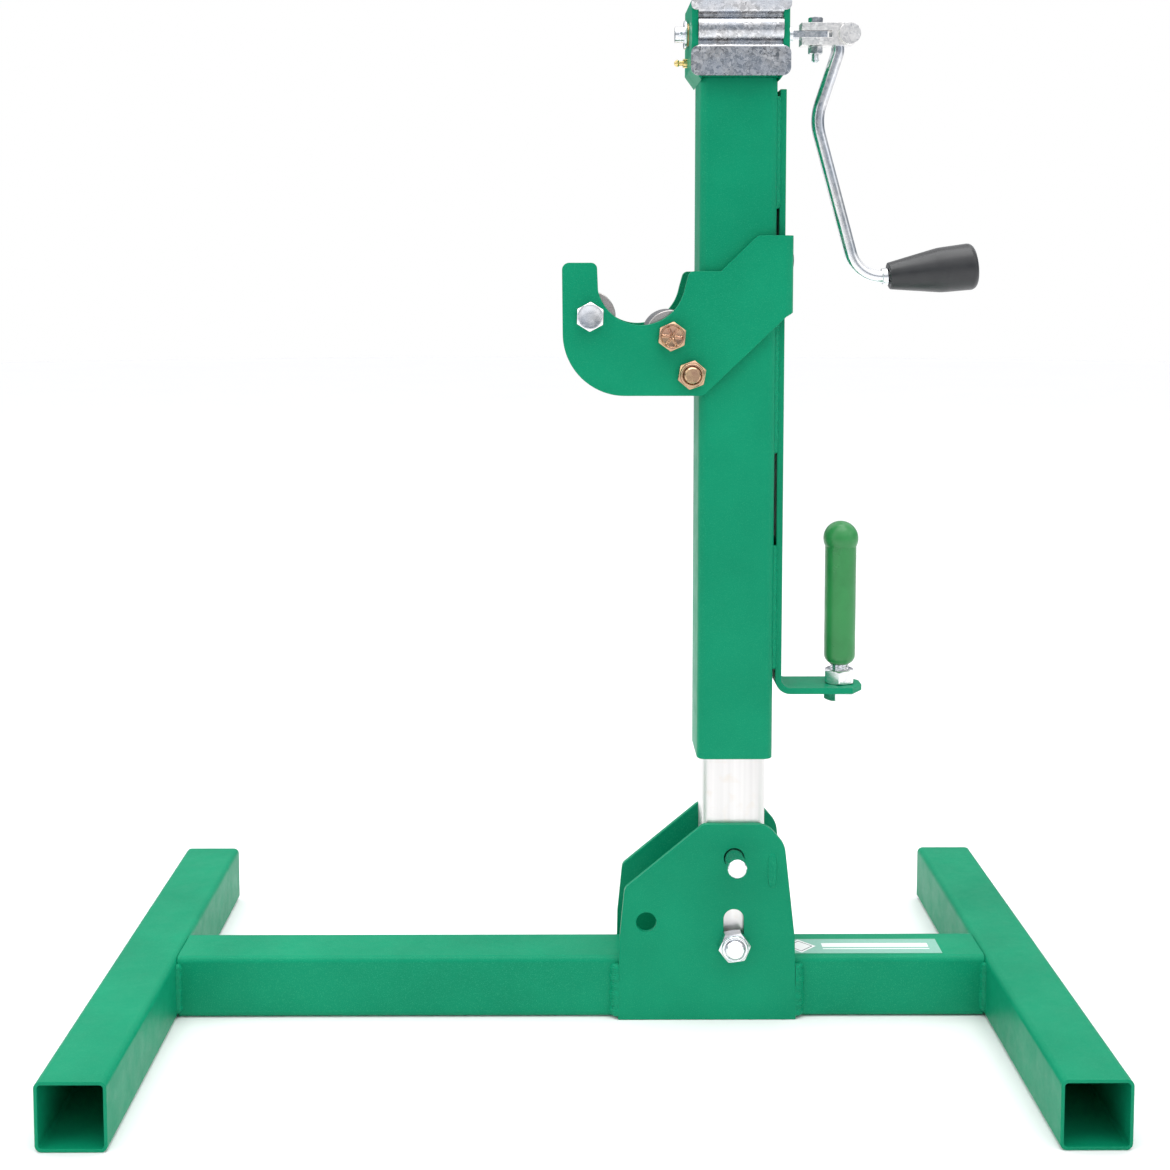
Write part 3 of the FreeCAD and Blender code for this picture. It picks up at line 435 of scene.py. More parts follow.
def powder_coat(name, colour):
    """Semi-gloss powder coat: a slow drift of tone, fine bright flecks, orange peel and dust."""
    material, nodes, links, shader = blank_material(name)
    shader.inputs["Specular IOR Level"].default_value = 0.12

    tone = nodes.new("NodeFrame")
    tone.label = "Colour of the coat"
    peel = nodes.new("NodeFrame")
    peel.label = "Orange peel"
    gloss = nodes.new("NodeFrame")
    gloss.label = "Gloss"

    place = nodes.new("ShaderNodeTexCoord")
    place.label = "Place on the stand"

    drift = nodes.new("ShaderNodeTexNoise")
    drift.label = "Slow drift of film thickness"
    drift.inputs["Scale"].default_value = 9.0
    drift.inputs["Detail"].default_value = 3.0
    drift.inputs["Roughness"].default_value = 0.55

    fleck = nodes.new("ShaderNodeTexNoise")
    fleck.label = "Fine flecks in the powder"
    fleck.inputs["Scale"].default_value = 1500.0
    fleck.inputs["Detail"].default_value = 2.0

    drift_ramp = nodes.new("ShaderNodeValToRGB")
    drift_ramp.label = "Thin to thick film"
    drift_ramp.color_ramp.elements[0].position = 0.3
    drift_ramp.color_ramp.elements[0].color = (*[c * 0.90 for c in colour], 1)
    drift_ramp.color_ramp.elements[1].position = 0.72
    drift_ramp.color_ramp.elements[1].color = (*[min(c * 1.10 + 0.002, 1) for c in colour], 1)

    fleck_ramp = nodes.new("ShaderNodeValToRGB")
    fleck_ramp.label = "Only the brightest flecks"
    fleck_ramp.color_ramp.elements[0].position = 0.56
    fleck_ramp.color_ramp.elements[0].color = (0, 0, 0, 1)
    fleck_ramp.color_ramp.elements[1].position = 0.74
    fleck_ramp.color_ramp.elements[1].color = (0.55, 0.55, 0.55, 1)

    fleck_mix = nodes.new("ShaderNodeMix")
    fleck_mix.data_type = "RGBA"
    fleck_mix.label = "Flecks over the coat"
    fleck_mix.inputs["B"].default_value = (colour[0] + 0.05, min(colour[1] * 1.8, 1), colour[2] * 2.0, 1)

    dust = nodes.new("ShaderNodeTexNoise")
    dust.label = "Dust and handling marks"
    dust.inputs["Scale"].default_value = 42.0
    dust.inputs["Detail"].default_value = 8.0
    dust.inputs["Roughness"].default_value = 0.72

    dust_span = nodes.new("ShaderNodeMapRange")
    dust_span.label = "Roughness from clean to dusty"
    dust_span.inputs["From Min"].default_value = 0.32
    dust_span.inputs["From Max"].default_value = 0.72
    dust_span.inputs["To Min"].default_value = 0.34
    dust_span.inputs["To Max"].default_value = 0.50

    grain = nodes.new("ShaderNodeTexNoise")
    grain.label = "Peel, about a millimetre across"
    grain.inputs["Scale"].default_value = 620.0
    grain.inputs["Detail"].default_value = 2.0

    wave = nodes.new("ShaderNodeTexNoise")
    wave.label = "Rolled waviness under the coat"
    wave.inputs["Scale"].default_value = 55.0
    wave.inputs["Detail"].default_value = 2.0

    peel_bump = nodes.new("ShaderNodeBump")
    peel_bump.label = "Peel"
    peel_bump.inputs["Strength"].default_value = 0.30
    peel_bump.inputs["Distance"].default_value = 0.00022

    wave_bump = nodes.new("ShaderNodeBump")
    wave_bump.label = "Waviness"
    wave_bump.inputs["Strength"].default_value = 0.22
    wave_bump.inputs["Distance"].default_value = 0.0008

    for node, x, y in (
        (place, -1300, 0), (drift, -1050, 320), (fleck, -1050, 60), (drift_ramp, -820, 320),
        (fleck_ramp, -820, 60), (fleck_mix, -520, 240), (dust, -1050, -220), (dust_span, -520, -220),
        (grain, -1050, -520), (wave, -1050, -780), (peel_bump, -250, -520), (wave_bump, -520, -780),
    ):
        node.location = (x, y)
    for node in (drift, fleck, drift_ramp, fleck_ramp, fleck_mix):
        node.parent = tone
    for node in (dust, dust_span):
        node.parent = gloss
    for node in (grain, wave, peel_bump, wave_bump):
        node.parent = peel

    for texture in (drift, fleck, dust, grain, wave):
        links.new(place.outputs["Object"], texture.inputs["Vector"])
    links.new(drift.outputs["Fac"], drift_ramp.inputs["Fac"])
    links.new(fleck.outputs["Fac"], fleck_ramp.inputs["Fac"])
    links.new(fleck_ramp.outputs["Color"], fleck_mix.inputs["Factor"])
    links.new(drift_ramp.outputs["Color"], fleck_mix.inputs["A"])
    links.new(fleck_mix.outputs["Result"], shader.inputs["Base Color"])
    links.new(dust.outputs["Fac"], dust_span.inputs["Value"])
    links.new(dust_span.outputs["Result"], shader.inputs["Roughness"])
    links.new(wave.outputs["Fac"], wave_bump.inputs["Height"])
    links.new(wave_bump.outputs["Normal"], peel_bump.inputs["Normal"])
    links.new(grain.outputs["Fac"], peel_bump.inputs["Height"])
    links.new(peel_bump.outputs["Normal"], shader.inputs["Normal"])
    return material


def plated(name, colour, tint, roughness, spangle, cell=260.0):
    """Zinc plate on steel: crystal cells of differing tone, a passivation tint that drifts, fine
    scratches, and roughness that follows the cells. Spangle is the contrast of the cells."""
    material, nodes, links, shader = blank_material(name)
    shader.inputs["Metallic"].default_value = 1.0

    crystals = nodes.new("NodeFrame")
    crystals.label = "Zinc crystals"
    passivate = nodes.new("NodeFrame")
    passivate.label = "Passivation tint"
    surface = nodes.new("NodeFrame")
    surface.label = "Scratches and gloss"

    place = nodes.new("ShaderNodeTexCoord")
    place.label = "Place on the stand"

    swirl = nodes.new("ShaderNodeTexNoise")
    swirl.label = "Swirls that bend the crystals"
    swirl.inputs["Scale"].default_value = cell * 0.55
    swirl.inputs["Detail"].default_value = 3.0

    bend = nodes.new("ShaderNodeMix")
    bend.data_type = "VECTOR"
    bend.label = "Bent place"
    bend.inputs["Factor"].default_value = 0.008

    cells = nodes.new("ShaderNodeTexVoronoi")
    cells.label = "Crystal cells"
    cells.inputs["Scale"].default_value = cell

    split = nodes.new("ShaderNodeSeparateColor")
    split.label = "One tone for each cell"

    cell_tone = nodes.new("ShaderNodeValToRGB")
    cell_tone.label = "Dull to bright crystals"
    cell_tone.color_ramp.elements[0].color = (*[c * (1 - spangle) for c in colour], 1)
    cell_tone.color_ramp.elements[1].color = (*colour, 1)

    cloud = nodes.new("ShaderNodeTexNoise")
    cloud.label = "Clouds of passivation"
    cloud.inputs["Scale"].default_value = 48.0
    cloud.inputs["Detail"].default_value = 4.0

    cloud_span = nodes.new("ShaderNodeMapRange")
    cloud_span.label = "How much tint shows"
    cloud_span.inputs["From Min"].default_value = 0.40
    cloud_span.inputs["From Max"].default_value = 0.68

    tinted = nodes.new("ShaderNodeMix")
    tinted.data_type = "RGBA"
    tinted.label = "Tint over the crystals"
    tinted.inputs["B"].default_value = (*tint, 1)

    stretch = nodes.new("ShaderNodeMapping")
    stretch.label = "Scratches run one way"
    stretch.inputs["Scale"].default_value = (1.0, 0.5, 0.14)
    stretch.inputs["Rotation"].default_value = (0.3, 0.5, 0.2)

    scratch = nodes.new("ShaderNodeTexNoise")
    scratch.label = "Hair scratches"
    scratch.inputs["Scale"].default_value = 1900.0
    scratch.inputs["Detail"].default_value = 3.0

    rough_span = nodes.new("ShaderNodeMapRange")
    rough_span.label = "Gloss differs between crystals"
    rough_span.inputs["To Min"].default_value = roughness * 0.8
    rough_span.inputs["To Max"].default_value = roughness * (1.25 + spangle)

    bump = nodes.new("ShaderNodeBump")
    bump.label = "Scratch depth"
    bump.inputs["Strength"].default_value = 0.10
    bump.inputs["Distance"].default_value = 0.0001

    cell_bump = nodes.new("ShaderNodeBump")
    cell_bump.label = "Crystals stand at different heights"
    cell_bump.inputs["Strength"].default_value = 0.08 + 0.9 * spangle
    cell_bump.inputs["Distance"].default_value = 0.0001

    for node, x, y in (
        (place, -1500, 0), (swirl, -1300, 420), (bend, -1080, 420), (cells, -860, 420),
        (split, -660, 420), (cell_tone, -460, 420), (cloud, -860, 60), (cloud_span, -460, 60),
        (tinted, -140, 300), (stretch, -1080, -300), (scratch, -860, -300), (rough_span, -140, -60),
        (bump, 80, -300), (cell_bump, -140, -480),
    ):
        node.location = (x, y)
    for node in (swirl, bend, cells, split, cell_tone):
        node.parent = crystals
    for node in (cloud, cloud_span, tinted):
        node.parent = passivate
    for node in (stretch, scratch, rough_span, bump, cell_bump):
        node.parent = surface

    links.new(place.outputs["Object"], swirl.inputs["Vector"])
    links.new(place.outputs["Object"], bend.inputs["A"])
    links.new(swirl.outputs["Color"], bend.inputs["B"])
    links.new(bend.outputs["Result"], cells.inputs["Vector"])
    links.new(cells.outputs["Color"], split.inputs["Color"])
    links.new(split.outputs["Red"], cell_tone.inputs["Fac"])
    links.new(place.outputs["Object"], cloud.inputs["Vector"])
    links.new(cloud.outputs["Fac"], cloud_span.inputs["Value"])
    links.new(cloud_span.outputs["Result"], tinted.inputs["Factor"])
    links.new(cell_tone.outputs["Color"], tinted.inputs["A"])
    links.new(tinted.outputs["Result"], shader.inputs["Base Color"])
    links.new(split.outputs["Green"], rough_span.inputs["Value"])
    links.new(rough_span.outputs["Result"], shader.inputs["Roughness"])
    links.new(place.outputs["Object"], stretch.inputs["Vector"])
    links.new(stretch.outputs["Vector"], scratch.inputs["Vector"])
    links.new(split.outputs["Red"], cell_bump.inputs["Height"])
    links.new(cell_bump.outputs["Normal"], bump.inputs["Normal"])
    links.new(scratch.outputs["Fac"], bump.inputs["Height"])
    links.new(bump.outputs["Normal"], shader.inputs["Normal"])
    return material


def drawn_metal(name, colour, soil, roughness, along, line_scale=900.0):
    """Drawn or turned metal: fine lines across one axis, tone bands and a film of soil or oil.
    Along is the axis that the tool marks follow, which the noise is stretched on."""
    material, nodes, links, shader = blank_material(name)
    shader.inputs["Metallic"].default_value = 1.0

    marks = nodes.new("NodeFrame")
    marks.label = "Tool marks"
    film = nodes.new("NodeFrame")
    film.label = "Soil and oil"

    place = nodes.new("ShaderNodeTexCoord")
    place.label = "Place on the stand"

    stretch = nodes.new("ShaderNodeMapping")
    stretch.label = "Marks follow the tool"
    stretch.inputs["Scale"].default_value = tuple(0.02 if axis == along else 1.0 for axis in "XYZ")

    lines = nodes.new("ShaderNodeTexNoise")
    lines.label = "Fine lines"
    lines.inputs["Scale"].default_value = line_scale
    lines.inputs["Detail"].default_value = 4.0
    lines.inputs["Roughness"].default_value = 0.7

    bands = nodes.new("ShaderNodeTexNoise")
    bands.label = "Broad bands of tone"
    bands.inputs["Scale"].default_value = line_scale * 0.12
    bands.inputs["Detail"].default_value = 2.0

    tone = nodes.new("ShaderNodeValToRGB")
    tone.label = "Dark to light bands"
    tone.color_ramp.elements[0].position = 0.30
    tone.color_ramp.elements[0].color = (*[c * 0.86 for c in colour], 1)
    tone.color_ramp.elements[1].position = 0.70
    tone.color_ramp.elements[1].color = (*colour, 1)

    spots = nodes.new("ShaderNodeTexNoise")
    spots.label = "Patches of soil"
    spots.inputs["Scale"].default_value = 70.0
    spots.inputs["Detail"].default_value = 7.0

    spot_span = nodes.new("ShaderNodeMapRange")
    spot_span.label = "Where the film lies"
    spot_span.inputs["From Min"].default_value = 0.54
    spot_span.inputs["From Max"].default_value = 0.80
    spot_span.inputs["To Max"].default_value = 0.55

    soiled = nodes.new("ShaderNodeMix")
    soiled.data_type = "RGBA"
    soiled.label = "Film over the metal"
    soiled.inputs["B"].default_value = (*soil, 1)

    rough_span = nodes.new("ShaderNodeMapRange")
    rough_span.label = "Gloss along the marks"
    rough_span.inputs["To Min"].default_value = roughness * 0.75
    rough_span.inputs["To Max"].default_value = roughness * 1.30

    bump = nodes.new("ShaderNodeBump")
    bump.label = "Depth of the marks"
    bump.inputs["Strength"].default_value = 0.16
    bump.inputs["Distance"].default_value = 0.0001

    for node, x, y in (
        (place, -1300, 0), (stretch, -1080, 200), (lines, -860, 260), (bands, -860, 0),
        (tone, -600, 0), (spots, -860, -300), (spot_span, -600, -300), (soiled, -240, 60),
        (rough_span, -240, -160), (bump, 60, -320),
    ):
        node.location = (x, y)
    for node in (stretch, lines, bands, tone, rough_span, bump):
        node.parent = marks
    for node in (spots, spot_span, soiled):
        node.parent = film

    links.new(place.outputs["Object"], stretch.inputs["Vector"])
    links.new(stretch.outputs["Vector"], lines.inputs["Vector"])
    links.new(stretch.outputs["Vector"], bands.inputs["Vector"])
    links.new(place.outputs["Object"], spots.inputs["Vector"])
    links.new(bands.outputs["Fac"], tone.inputs["Fac"])
    links.new(spots.outputs["Fac"], spot_span.inputs["Value"])
    links.new(spot_span.outputs["Result"], soiled.inputs["Factor"])
    links.new(tone.outputs["Color"], soiled.inputs["A"])
    links.new(soiled.outputs["Result"], shader.inputs["Base Color"])
    links.new(lines.outputs["Fac"], rough_span.inputs["Value"])
    links.new(rough_span.outputs["Result"], shader.inputs["Roughness"])
    links.new(lines.outputs["Fac"], bump.inputs["Height"])
    links.new(bump.outputs["Normal"], shader.inputs["Normal"])
    return material


def moulded(name, colour, roughness, grain_size, sheen_lift):
    """Moulded plastic: a spark-eroded grain, flow clouds in its tone, and polished worn patches."""
    material, nodes, links, shader = blank_material(name)
    shader.inputs["IOR"].default_value = 1.5
    shader.inputs["Specular IOR Level"].default_value = 0.5

    tone = nodes.new("NodeFrame")
    tone.label = "Colour of the moulding"
    skin_frame = nodes.new("NodeFrame")
    skin_frame.label = "Mould grain and wear"

    place = nodes.new("ShaderNodeTexCoord")
    place.label = "Place on the stand"

    flow = nodes.new("ShaderNodeTexNoise")
    flow.label = "Flow of the melt"
    flow.inputs["Scale"].default_value = 26.0
    flow.inputs["Detail"].default_value = 3.0
    flow.inputs["Distortion"].default_value = 0.8

    flow_ramp = nodes.new("ShaderNodeValToRGB")
    flow_ramp.label = "Tone across the flow"
    flow_ramp.color_ramp.elements[0].position = 0.3
    flow_ramp.color_ramp.elements[0].color = (*[c * 0.84 for c in colour], 1)
    flow_ramp.color_ramp.elements[1].position = 0.75
    flow_ramp.color_ramp.elements[1].color = (*[min(c * 1.12 + sheen_lift, 1) for c in colour], 1)

    wear = nodes.new("ShaderNodeTexNoise")
    wear.label = "Patches polished by hands"
    wear.inputs["Scale"].default_value = 60.0
    wear.inputs["Detail"].default_value = 5.0

    wear_span = nodes.new("ShaderNodeMapRange")
    wear_span.label = "Polished to matt"
    wear_span.inputs["From Min"].default_value = 0.35
    wear_span.inputs["From Max"].default_value = 0.68
    wear_span.inputs["To Min"].default_value = roughness * 0.8
    wear_span.inputs["To Max"].default_value = roughness * 1.2

    grain = nodes.new("ShaderNodeTexNoise")
    grain.label = "Spark-eroded grain"
    grain.inputs["Scale"].default_value = grain_size
    grain.inputs["Detail"].default_value = 3.0

    bump = nodes.new("ShaderNodeBump")
    bump.label = "Grain depth"
    bump.inputs["Strength"].default_value = 0.28
    bump.inputs["Distance"].default_value = 0.00018

    for node, x, y in (
        (place, -1200, 0), (flow, -960, 240), (flow_ramp, -700, 240), (wear, -960, -60),
        (wear_span, -700, -60), (grain, -960, -360), (bump, -300, -360),
    ):
        node.location = (x, y)
    for node in (flow, flow_ramp):
        node.parent = tone
    for node in (wear, wear_span, grain, bump):
        node.parent = skin_frame

    for texture in (flow, wear, grain):
        links.new(place.outputs["Object"], texture.inputs["Vector"])
    links.new(flow.outputs["Fac"], flow_ramp.inputs["Fac"])
    links.new(flow_ramp.outputs["Color"], shader.inputs["Base Color"])
    links.new(wear.outputs["Fac"], wear_span.inputs["Value"])
    links.new(wear_span.outputs["Result"], shader.inputs["Roughness"])
    links.new(grain.outputs["Fac"], bump.inputs["Height"])
    links.new(bump.outputs["Normal"], shader.inputs["Normal"])
    return material


def label_film(name):
    """Green-tinted film with two plain pale bars and one white diamond, and no lettering.

    The pattern is worked out from the place on the stand: |x| and |y| from the diamond's middle
    add up to less than its half width inside it, and each bar is a straight stretch of x and y.
    """
    low, high = (Vector(corner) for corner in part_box("label_plate"))
    material, nodes, links, shader = blank_material(name)
    shader.inputs["Coat Weight"].default_value = 0.35
    shader.inputs["Coat Roughness"].default_value = 0.12

    pattern = nodes.new("NodeFrame")
    pattern.label = "Printed pattern"
    film = nodes.new("NodeFrame")
    film.label = "Tinted film"

    place = nodes.new("ShaderNodeTexCoord")
    place.label = "Place on the stand"

    centred = nodes.new("ShaderNodeMapping")
    centred.label = "Measured from the diamond"
    centred.inputs["Location"].default_value = (-(low.x + 0.024), -(low.y + high.y) / 2, 0)

    apart = nodes.new("ShaderNodeSeparateXYZ")
    apart.label = "Along and across"

    along = nodes.new("ShaderNodeMath")
    along.operation = "ABSOLUTE"
    along.label = "Distance along"

    across = nodes.new("ShaderNodeMath")
    across.operation = "ABSOLUTE"
    across.label = "Distance across"

    diamond_sum = nodes.new("ShaderNodeMath")
    diamond_sum.operation = "ADD"
    diamond_sum.label = "Diamond distance"

    diamond = nodes.new("ShaderNodeMath")
    diamond.operation = "LESS_THAN"
    diamond.label = "Inside the diamond"
    diamond.inputs[1].default_value = 0.0165

    ring_from = nodes.new("ShaderNodeMath")
    ring_from.operation = "COMPARE"
    ring_from.label = "Thin line inside it"
    ring_from.inputs[1].default_value = 0.0125
    ring_from.inputs[2].default_value = 0.0007

    broad_bar = nodes.new("ShaderNodeMath")
    broad_bar.operation = "COMPARE"
    broad_bar.label = "Broad bar's height"
    broad_bar.inputs[1].default_value = 0.0025
    broad_bar.inputs[2].default_value = 0.0048

    thin_bar = nodes.new("ShaderNodeMath")
    thin_bar.operation = "COMPARE"
    thin_bar.label = "Thin bar's height"
    thin_bar.inputs[1].default_value = -0.0068
    thin_bar.inputs[2].default_value = 0.0010

    bar_run = nodes.new("ShaderNodeMath")
    bar_run.operation = "COMPARE"
    bar_run.label = "Both bars' length"
    bar_run.inputs[1].default_value = 0.078
    bar_run.inputs[2].default_value = 0.055

    bars = nodes.new("ShaderNodeMath")
    bars.operation = "ADD"
    bars.label = "Either bar"

    band = nodes.new("ShaderNodeMath")
    band.operation = "MULTIPLY"
    band.label = "Printed bars"

    brushed = nodes.new("ShaderNodeTexNoise")
    brushed.label = "Grain of the film"
    brushed.inputs["Scale"].default_value = 420.0
    brushed.inputs["Detail"].default_value = 5.0

    film_tone = nodes.new("ShaderNodeValToRGB")
    film_tone.label = "Tones of the film"
    film_tone.color_ramp.elements[0].color = (0.17, 0.43, 0.33, 1)
    film_tone.color_ramp.elements[1].color = (0.27, 0.56, 0.45, 1)

    with_band = nodes.new("ShaderNodeMix")
    with_band.data_type = "RGBA"
    with_band.label = "Band on the film"
    with_band.inputs["B"].default_value = (0.86, 0.90, 0.88, 1)

    with_diamond = nodes.new("ShaderNodeMix")
    with_diamond.data_type = "RGBA"
    with_diamond.label = "White diamond"
    with_diamond.inputs["B"].default_value = (0.90, 0.92, 0.91, 1)

    with_line = nodes.new("ShaderNodeMix")
    with_line.data_type = "RGBA"
    with_line.label = "Line round the diamond"
    with_line.inputs["B"].default_value = (0.06, 0.09, 0.08, 1)

    rough_span = nodes.new("ShaderNodeMapRange")
    rough_span.label = "Satin film"
    rough_span.inputs["To Min"].default_value = 0.26
    rough_span.inputs["To Max"].default_value = 0.46

    for node, x, y in (
        (place, -1500, 0), (centred, -1300, 160), (apart, -1100, 160), (along, -920, 260),
        (across, -920, 60), (diamond_sum, -740, 200), (diamond, -560, 240), (ring_from, -560, 60),
        (broad_bar, -740, -60), (thin_bar, -740, -240), (bar_run, -740, -420), (bars, -560, -120),
        (band, -440, -240), (brushed, -1100, -520), (film_tone, -880, -520), (with_band, -320, -120),
        (with_diamond, -120, 60), (with_line, 80, 120), (rough_span, -120, -420),
    ):
        node.location = (x, y)
    for node in (
        centred, apart, along, across, diamond_sum, diamond, ring_from, broad_bar, thin_bar, bar_run,
        bars, band, with_band, with_diamond, with_line,
    ):
        node.parent = pattern
    for node in (brushed, film_tone, rough_span):
        node.parent = film

    links.new(place.outputs["Object"], centred.inputs["Vector"])
    links.new(centred.outputs["Vector"], apart.inputs["Vector"])
    links.new(apart.outputs["X"], along.inputs[0])
    links.new(apart.outputs["Y"], across.inputs[0])
    links.new(along.outputs["Value"], diamond_sum.inputs[0])
    links.new(across.outputs["Value"], diamond_sum.inputs[1])
    links.new(diamond_sum.outputs["Value"], diamond.inputs[0])
    links.new(diamond_sum.outputs["Value"], ring_from.inputs[0])
    links.new(apart.outputs["Y"], broad_bar.inputs[0])
    links.new(apart.outputs["Y"], thin_bar.inputs[0])
    links.new(apart.outputs["X"], bar_run.inputs[0])
    links.new(broad_bar.outputs["Value"], bars.inputs[0])
    links.new(thin_bar.outputs["Value"], bars.inputs[1])
    links.new(bars.outputs["Value"], band.inputs[0])
    links.new(bar_run.outputs["Value"], band.inputs[1])
    links.new(place.outputs["Object"], brushed.inputs["Vector"])
    links.new(brushed.outputs["Fac"], film_tone.inputs["Fac"])
    links.new(film_tone.outputs["Color"], with_band.inputs["A"])
    links.new(band.outputs["Value"], with_band.inputs["Factor"])
    links.new(with_band.outputs["Result"], with_diamond.inputs["A"])
    links.new(diamond.outputs["Value"], with_diamond.inputs["Factor"])
    links.new(with_diamond.outputs["Result"], with_line.inputs["A"])
    links.new(ring_from.outputs["Value"], with_line.inputs["Factor"])
    links.new(with_line.outputs["Result"], shader.inputs["Base Color"])
    links.new(brushed.outputs["Fac"], rough_span.inputs["Value"])
    links.new(rough_span.outputs["Result"], shader.inputs["Roughness"])
    return material


def studio_floor(name, colour):
    """Pale matt floor with a very faint mottling."""
    material, nodes, links, shader = blank_material(name)
    shader.inputs["Specular IOR Level"].default_value = 0.12
    shader.inputs["Roughness"].default_value = 0.85
    place = nodes.new("ShaderNodeTexCoord")
    place.label = "Place on the floor"
    mottle = nodes.new("ShaderNodeTexNoise")
    mottle.label = "Mottling"
    mottle.inputs["Scale"].default_value = 2.0
    tone = nodes.new("ShaderNodeValToRGB")
    tone.label = "Pale tones"
    tone.color_ramp.elements[0].color = (*[c * 0.985 for c in colour], 1)
    tone.color_ramp.elements[1].color = (*colour, 1)
    for node, x, y in (
        (place, -700, 0), (mottle, -480, 0), (tone, -240, 0),
    ):
        node.location = (x, y)
    links.new(place.outputs["Object"], mottle.inputs["Vector"])
    links.new(mottle.outputs["Fac"], tone.inputs["Fac"])
    links.new(tone.outputs["Color"], shader.inputs["Base Color"])
    return material


FINISHES = {
    "paint": ("Green powder coat", "green_paint"),
    "zinc": ("Bright zinc plate", "bright_zinc"),
    "cover_zinc": ("Spangled zinc sheet", "bright_zinc"),
    "forged_zinc": ("Zinc plate on a forging", "bright_zinc"),
    # Dark green-grey zinc: its colour is painted shade plus a painted reflection of the green paint around
    # it.
    "painted_shade_zinc": ("Zinc plate in painted shade", "dark_zinc"),
    "yellow_zinc": ("Yellow zinc plate", "yellow_zinc"),
    "steel": ("Oiled steel", "bare_steel"),
    "tube": ("Bright drawn tube", "bright_tube"),
    "roller": ("Turned roller steel", "roller_steel"),
    "bronze": ("Oiled bronze", "bronze"),
    "brass": ("Polished brass", "brass"),
    "black": ("Black moulding", "black_plastic"),
    "green": ("Green moulding", "green_plastic"),
    "label": ("Label film", "label"),
}


def made(name):
    """The material of that name, made the first time it is asked for."""
    if name in bpy.data.materials:
        return bpy.data.materials[name]
    finish = bpy.context.scene.stand_finish
    recipes = {
        "Green powder coat": (powder_coat, finish.paint),
        "Bright zinc plate": (plated, finish.zinc, (0.76, 0.79, 0.84), 0.19, 0.18),
        "Spangled zinc sheet": (plated, (0.78, 0.78, 0.79), (0.56, 0.59, 0.64), 0.20, 0.52, 360.0),
        "Zinc plate on a forging": (plated, (0.97, 0.96, 0.94), (0.84, 0.82, 0.80), 0.34, 0.22, 520.0),
        # Base colour and tint are painted shade plus a painted green reflection, far darker and greener
        # than bare zinc.
        "Zinc plate in painted shade": (plated, (0.16, 0.22, 0.20), (0.08, 0.13, 0.12), 0.34, 0.15),
        "Yellow zinc plate": (plated, finish.yellow_zinc, (0.46, 0.27, 0.19), 0.19, 0.24),
        "Oiled steel": (drawn_metal, (0.47, 0.47, 0.48), (0.16, 0.13, 0.09), 0.30, "Y"),
        "Bright drawn tube": (drawn_metal, finish.tube, (0.70, 0.62, 0.52), 0.36, "Z"),
        "Turned roller steel": (drawn_metal, (0.52, 0.49, 0.47), (0.30, 0.25, 0.22), 0.26, "X", 1300.0),
        "Oiled bronze": (drawn_metal, (0.60, 0.42, 0.22), (0.22, 0.14, 0.07), 0.34, "Y"),
        "Polished brass": (drawn_metal, (0.86, 0.68, 0.30), (0.45, 0.32, 0.14), 0.20, "Y"),
        "Black moulding": (moulded, finish.crank_handle, 0.36, 1500.0, 0.012),
        "Green moulding": (moulded, finish.handle, 0.34, 900.0, 0.004),
        "Label film": (label_film,),
    }
    maker, *values = recipes[name]
    return maker(name, *values)


# ---------------------------------------------------------------- operators
class StandOperator:
    """Shared settings of the stand's operators."""

    bl_options = {"REGISTER", "UNDO"}


class STAND_OT_finish_frame(StandOperator, bpy.types.Operator):
    """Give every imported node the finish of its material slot"""

    bl_idname = "stand.finish_frame"
    bl_label = "Finish the frame"

    def execute(self, context):
        by_slot = {}
        for finish, (material, slot) in FINISHES.items():
            by_slot.setdefault(slot, material)
        for entry in frame["record"]["subparts"]:
            node = frame["nodes"][entry["node"]]
            for place in node.material_slots:
                place.material = made(by_slot[entry["material_slot"]])
        return {"FINISHED"}


class STAND_OT_plates(StandOperator, bpy.types.Operator):
    """Ease the cut edges of the base, ears, tubes, cheeks, strap and cradle"""

    bl_idname = "stand.plates"
    bl_label = "Plates and tubes"

    NODES = ("left_foot", "right_foot", "crossbar", "front_ear", "rear_ear", "mast_stop_bar",
             "outer_tube", "left_cheek", "right_cheek", "head_back", "strap", "cradle_plate")

    def execute(self, context):
        for node in self.NODES:
            eased(node, "paint", context.scene.stand_detail.eased_edge)
        eased("inner_tube", "tube", context.scene.stand_detail.eased_edge)
        return {"FINISHED"}


class STAND_OT_cover(StandOperator, bpy.types.Operator):
    """Ease the edges of the head's zinc cover and give it a spangled finish"""

    bl_idname = "stand.cover"
    bl_label = "Head cover"

    def execute(self, context):
        eased("head_cover", "cover_zinc", context.scene.stand_detail.eased_edge * 0.5)
        return {"FINISHED"}


class STAND_OT_crank_yoke(StandOperator, bpy.types.Operator):
    """Round the forged yoke of the crank"""

    bl_idname = "stand.crank_yoke"
    bl_label = "Crank yoke"

    def execute(self, context):
        eased("crank_yoke", "forged_zinc", 0.0016, sharp=45.0)
        return {"FINISHED"}


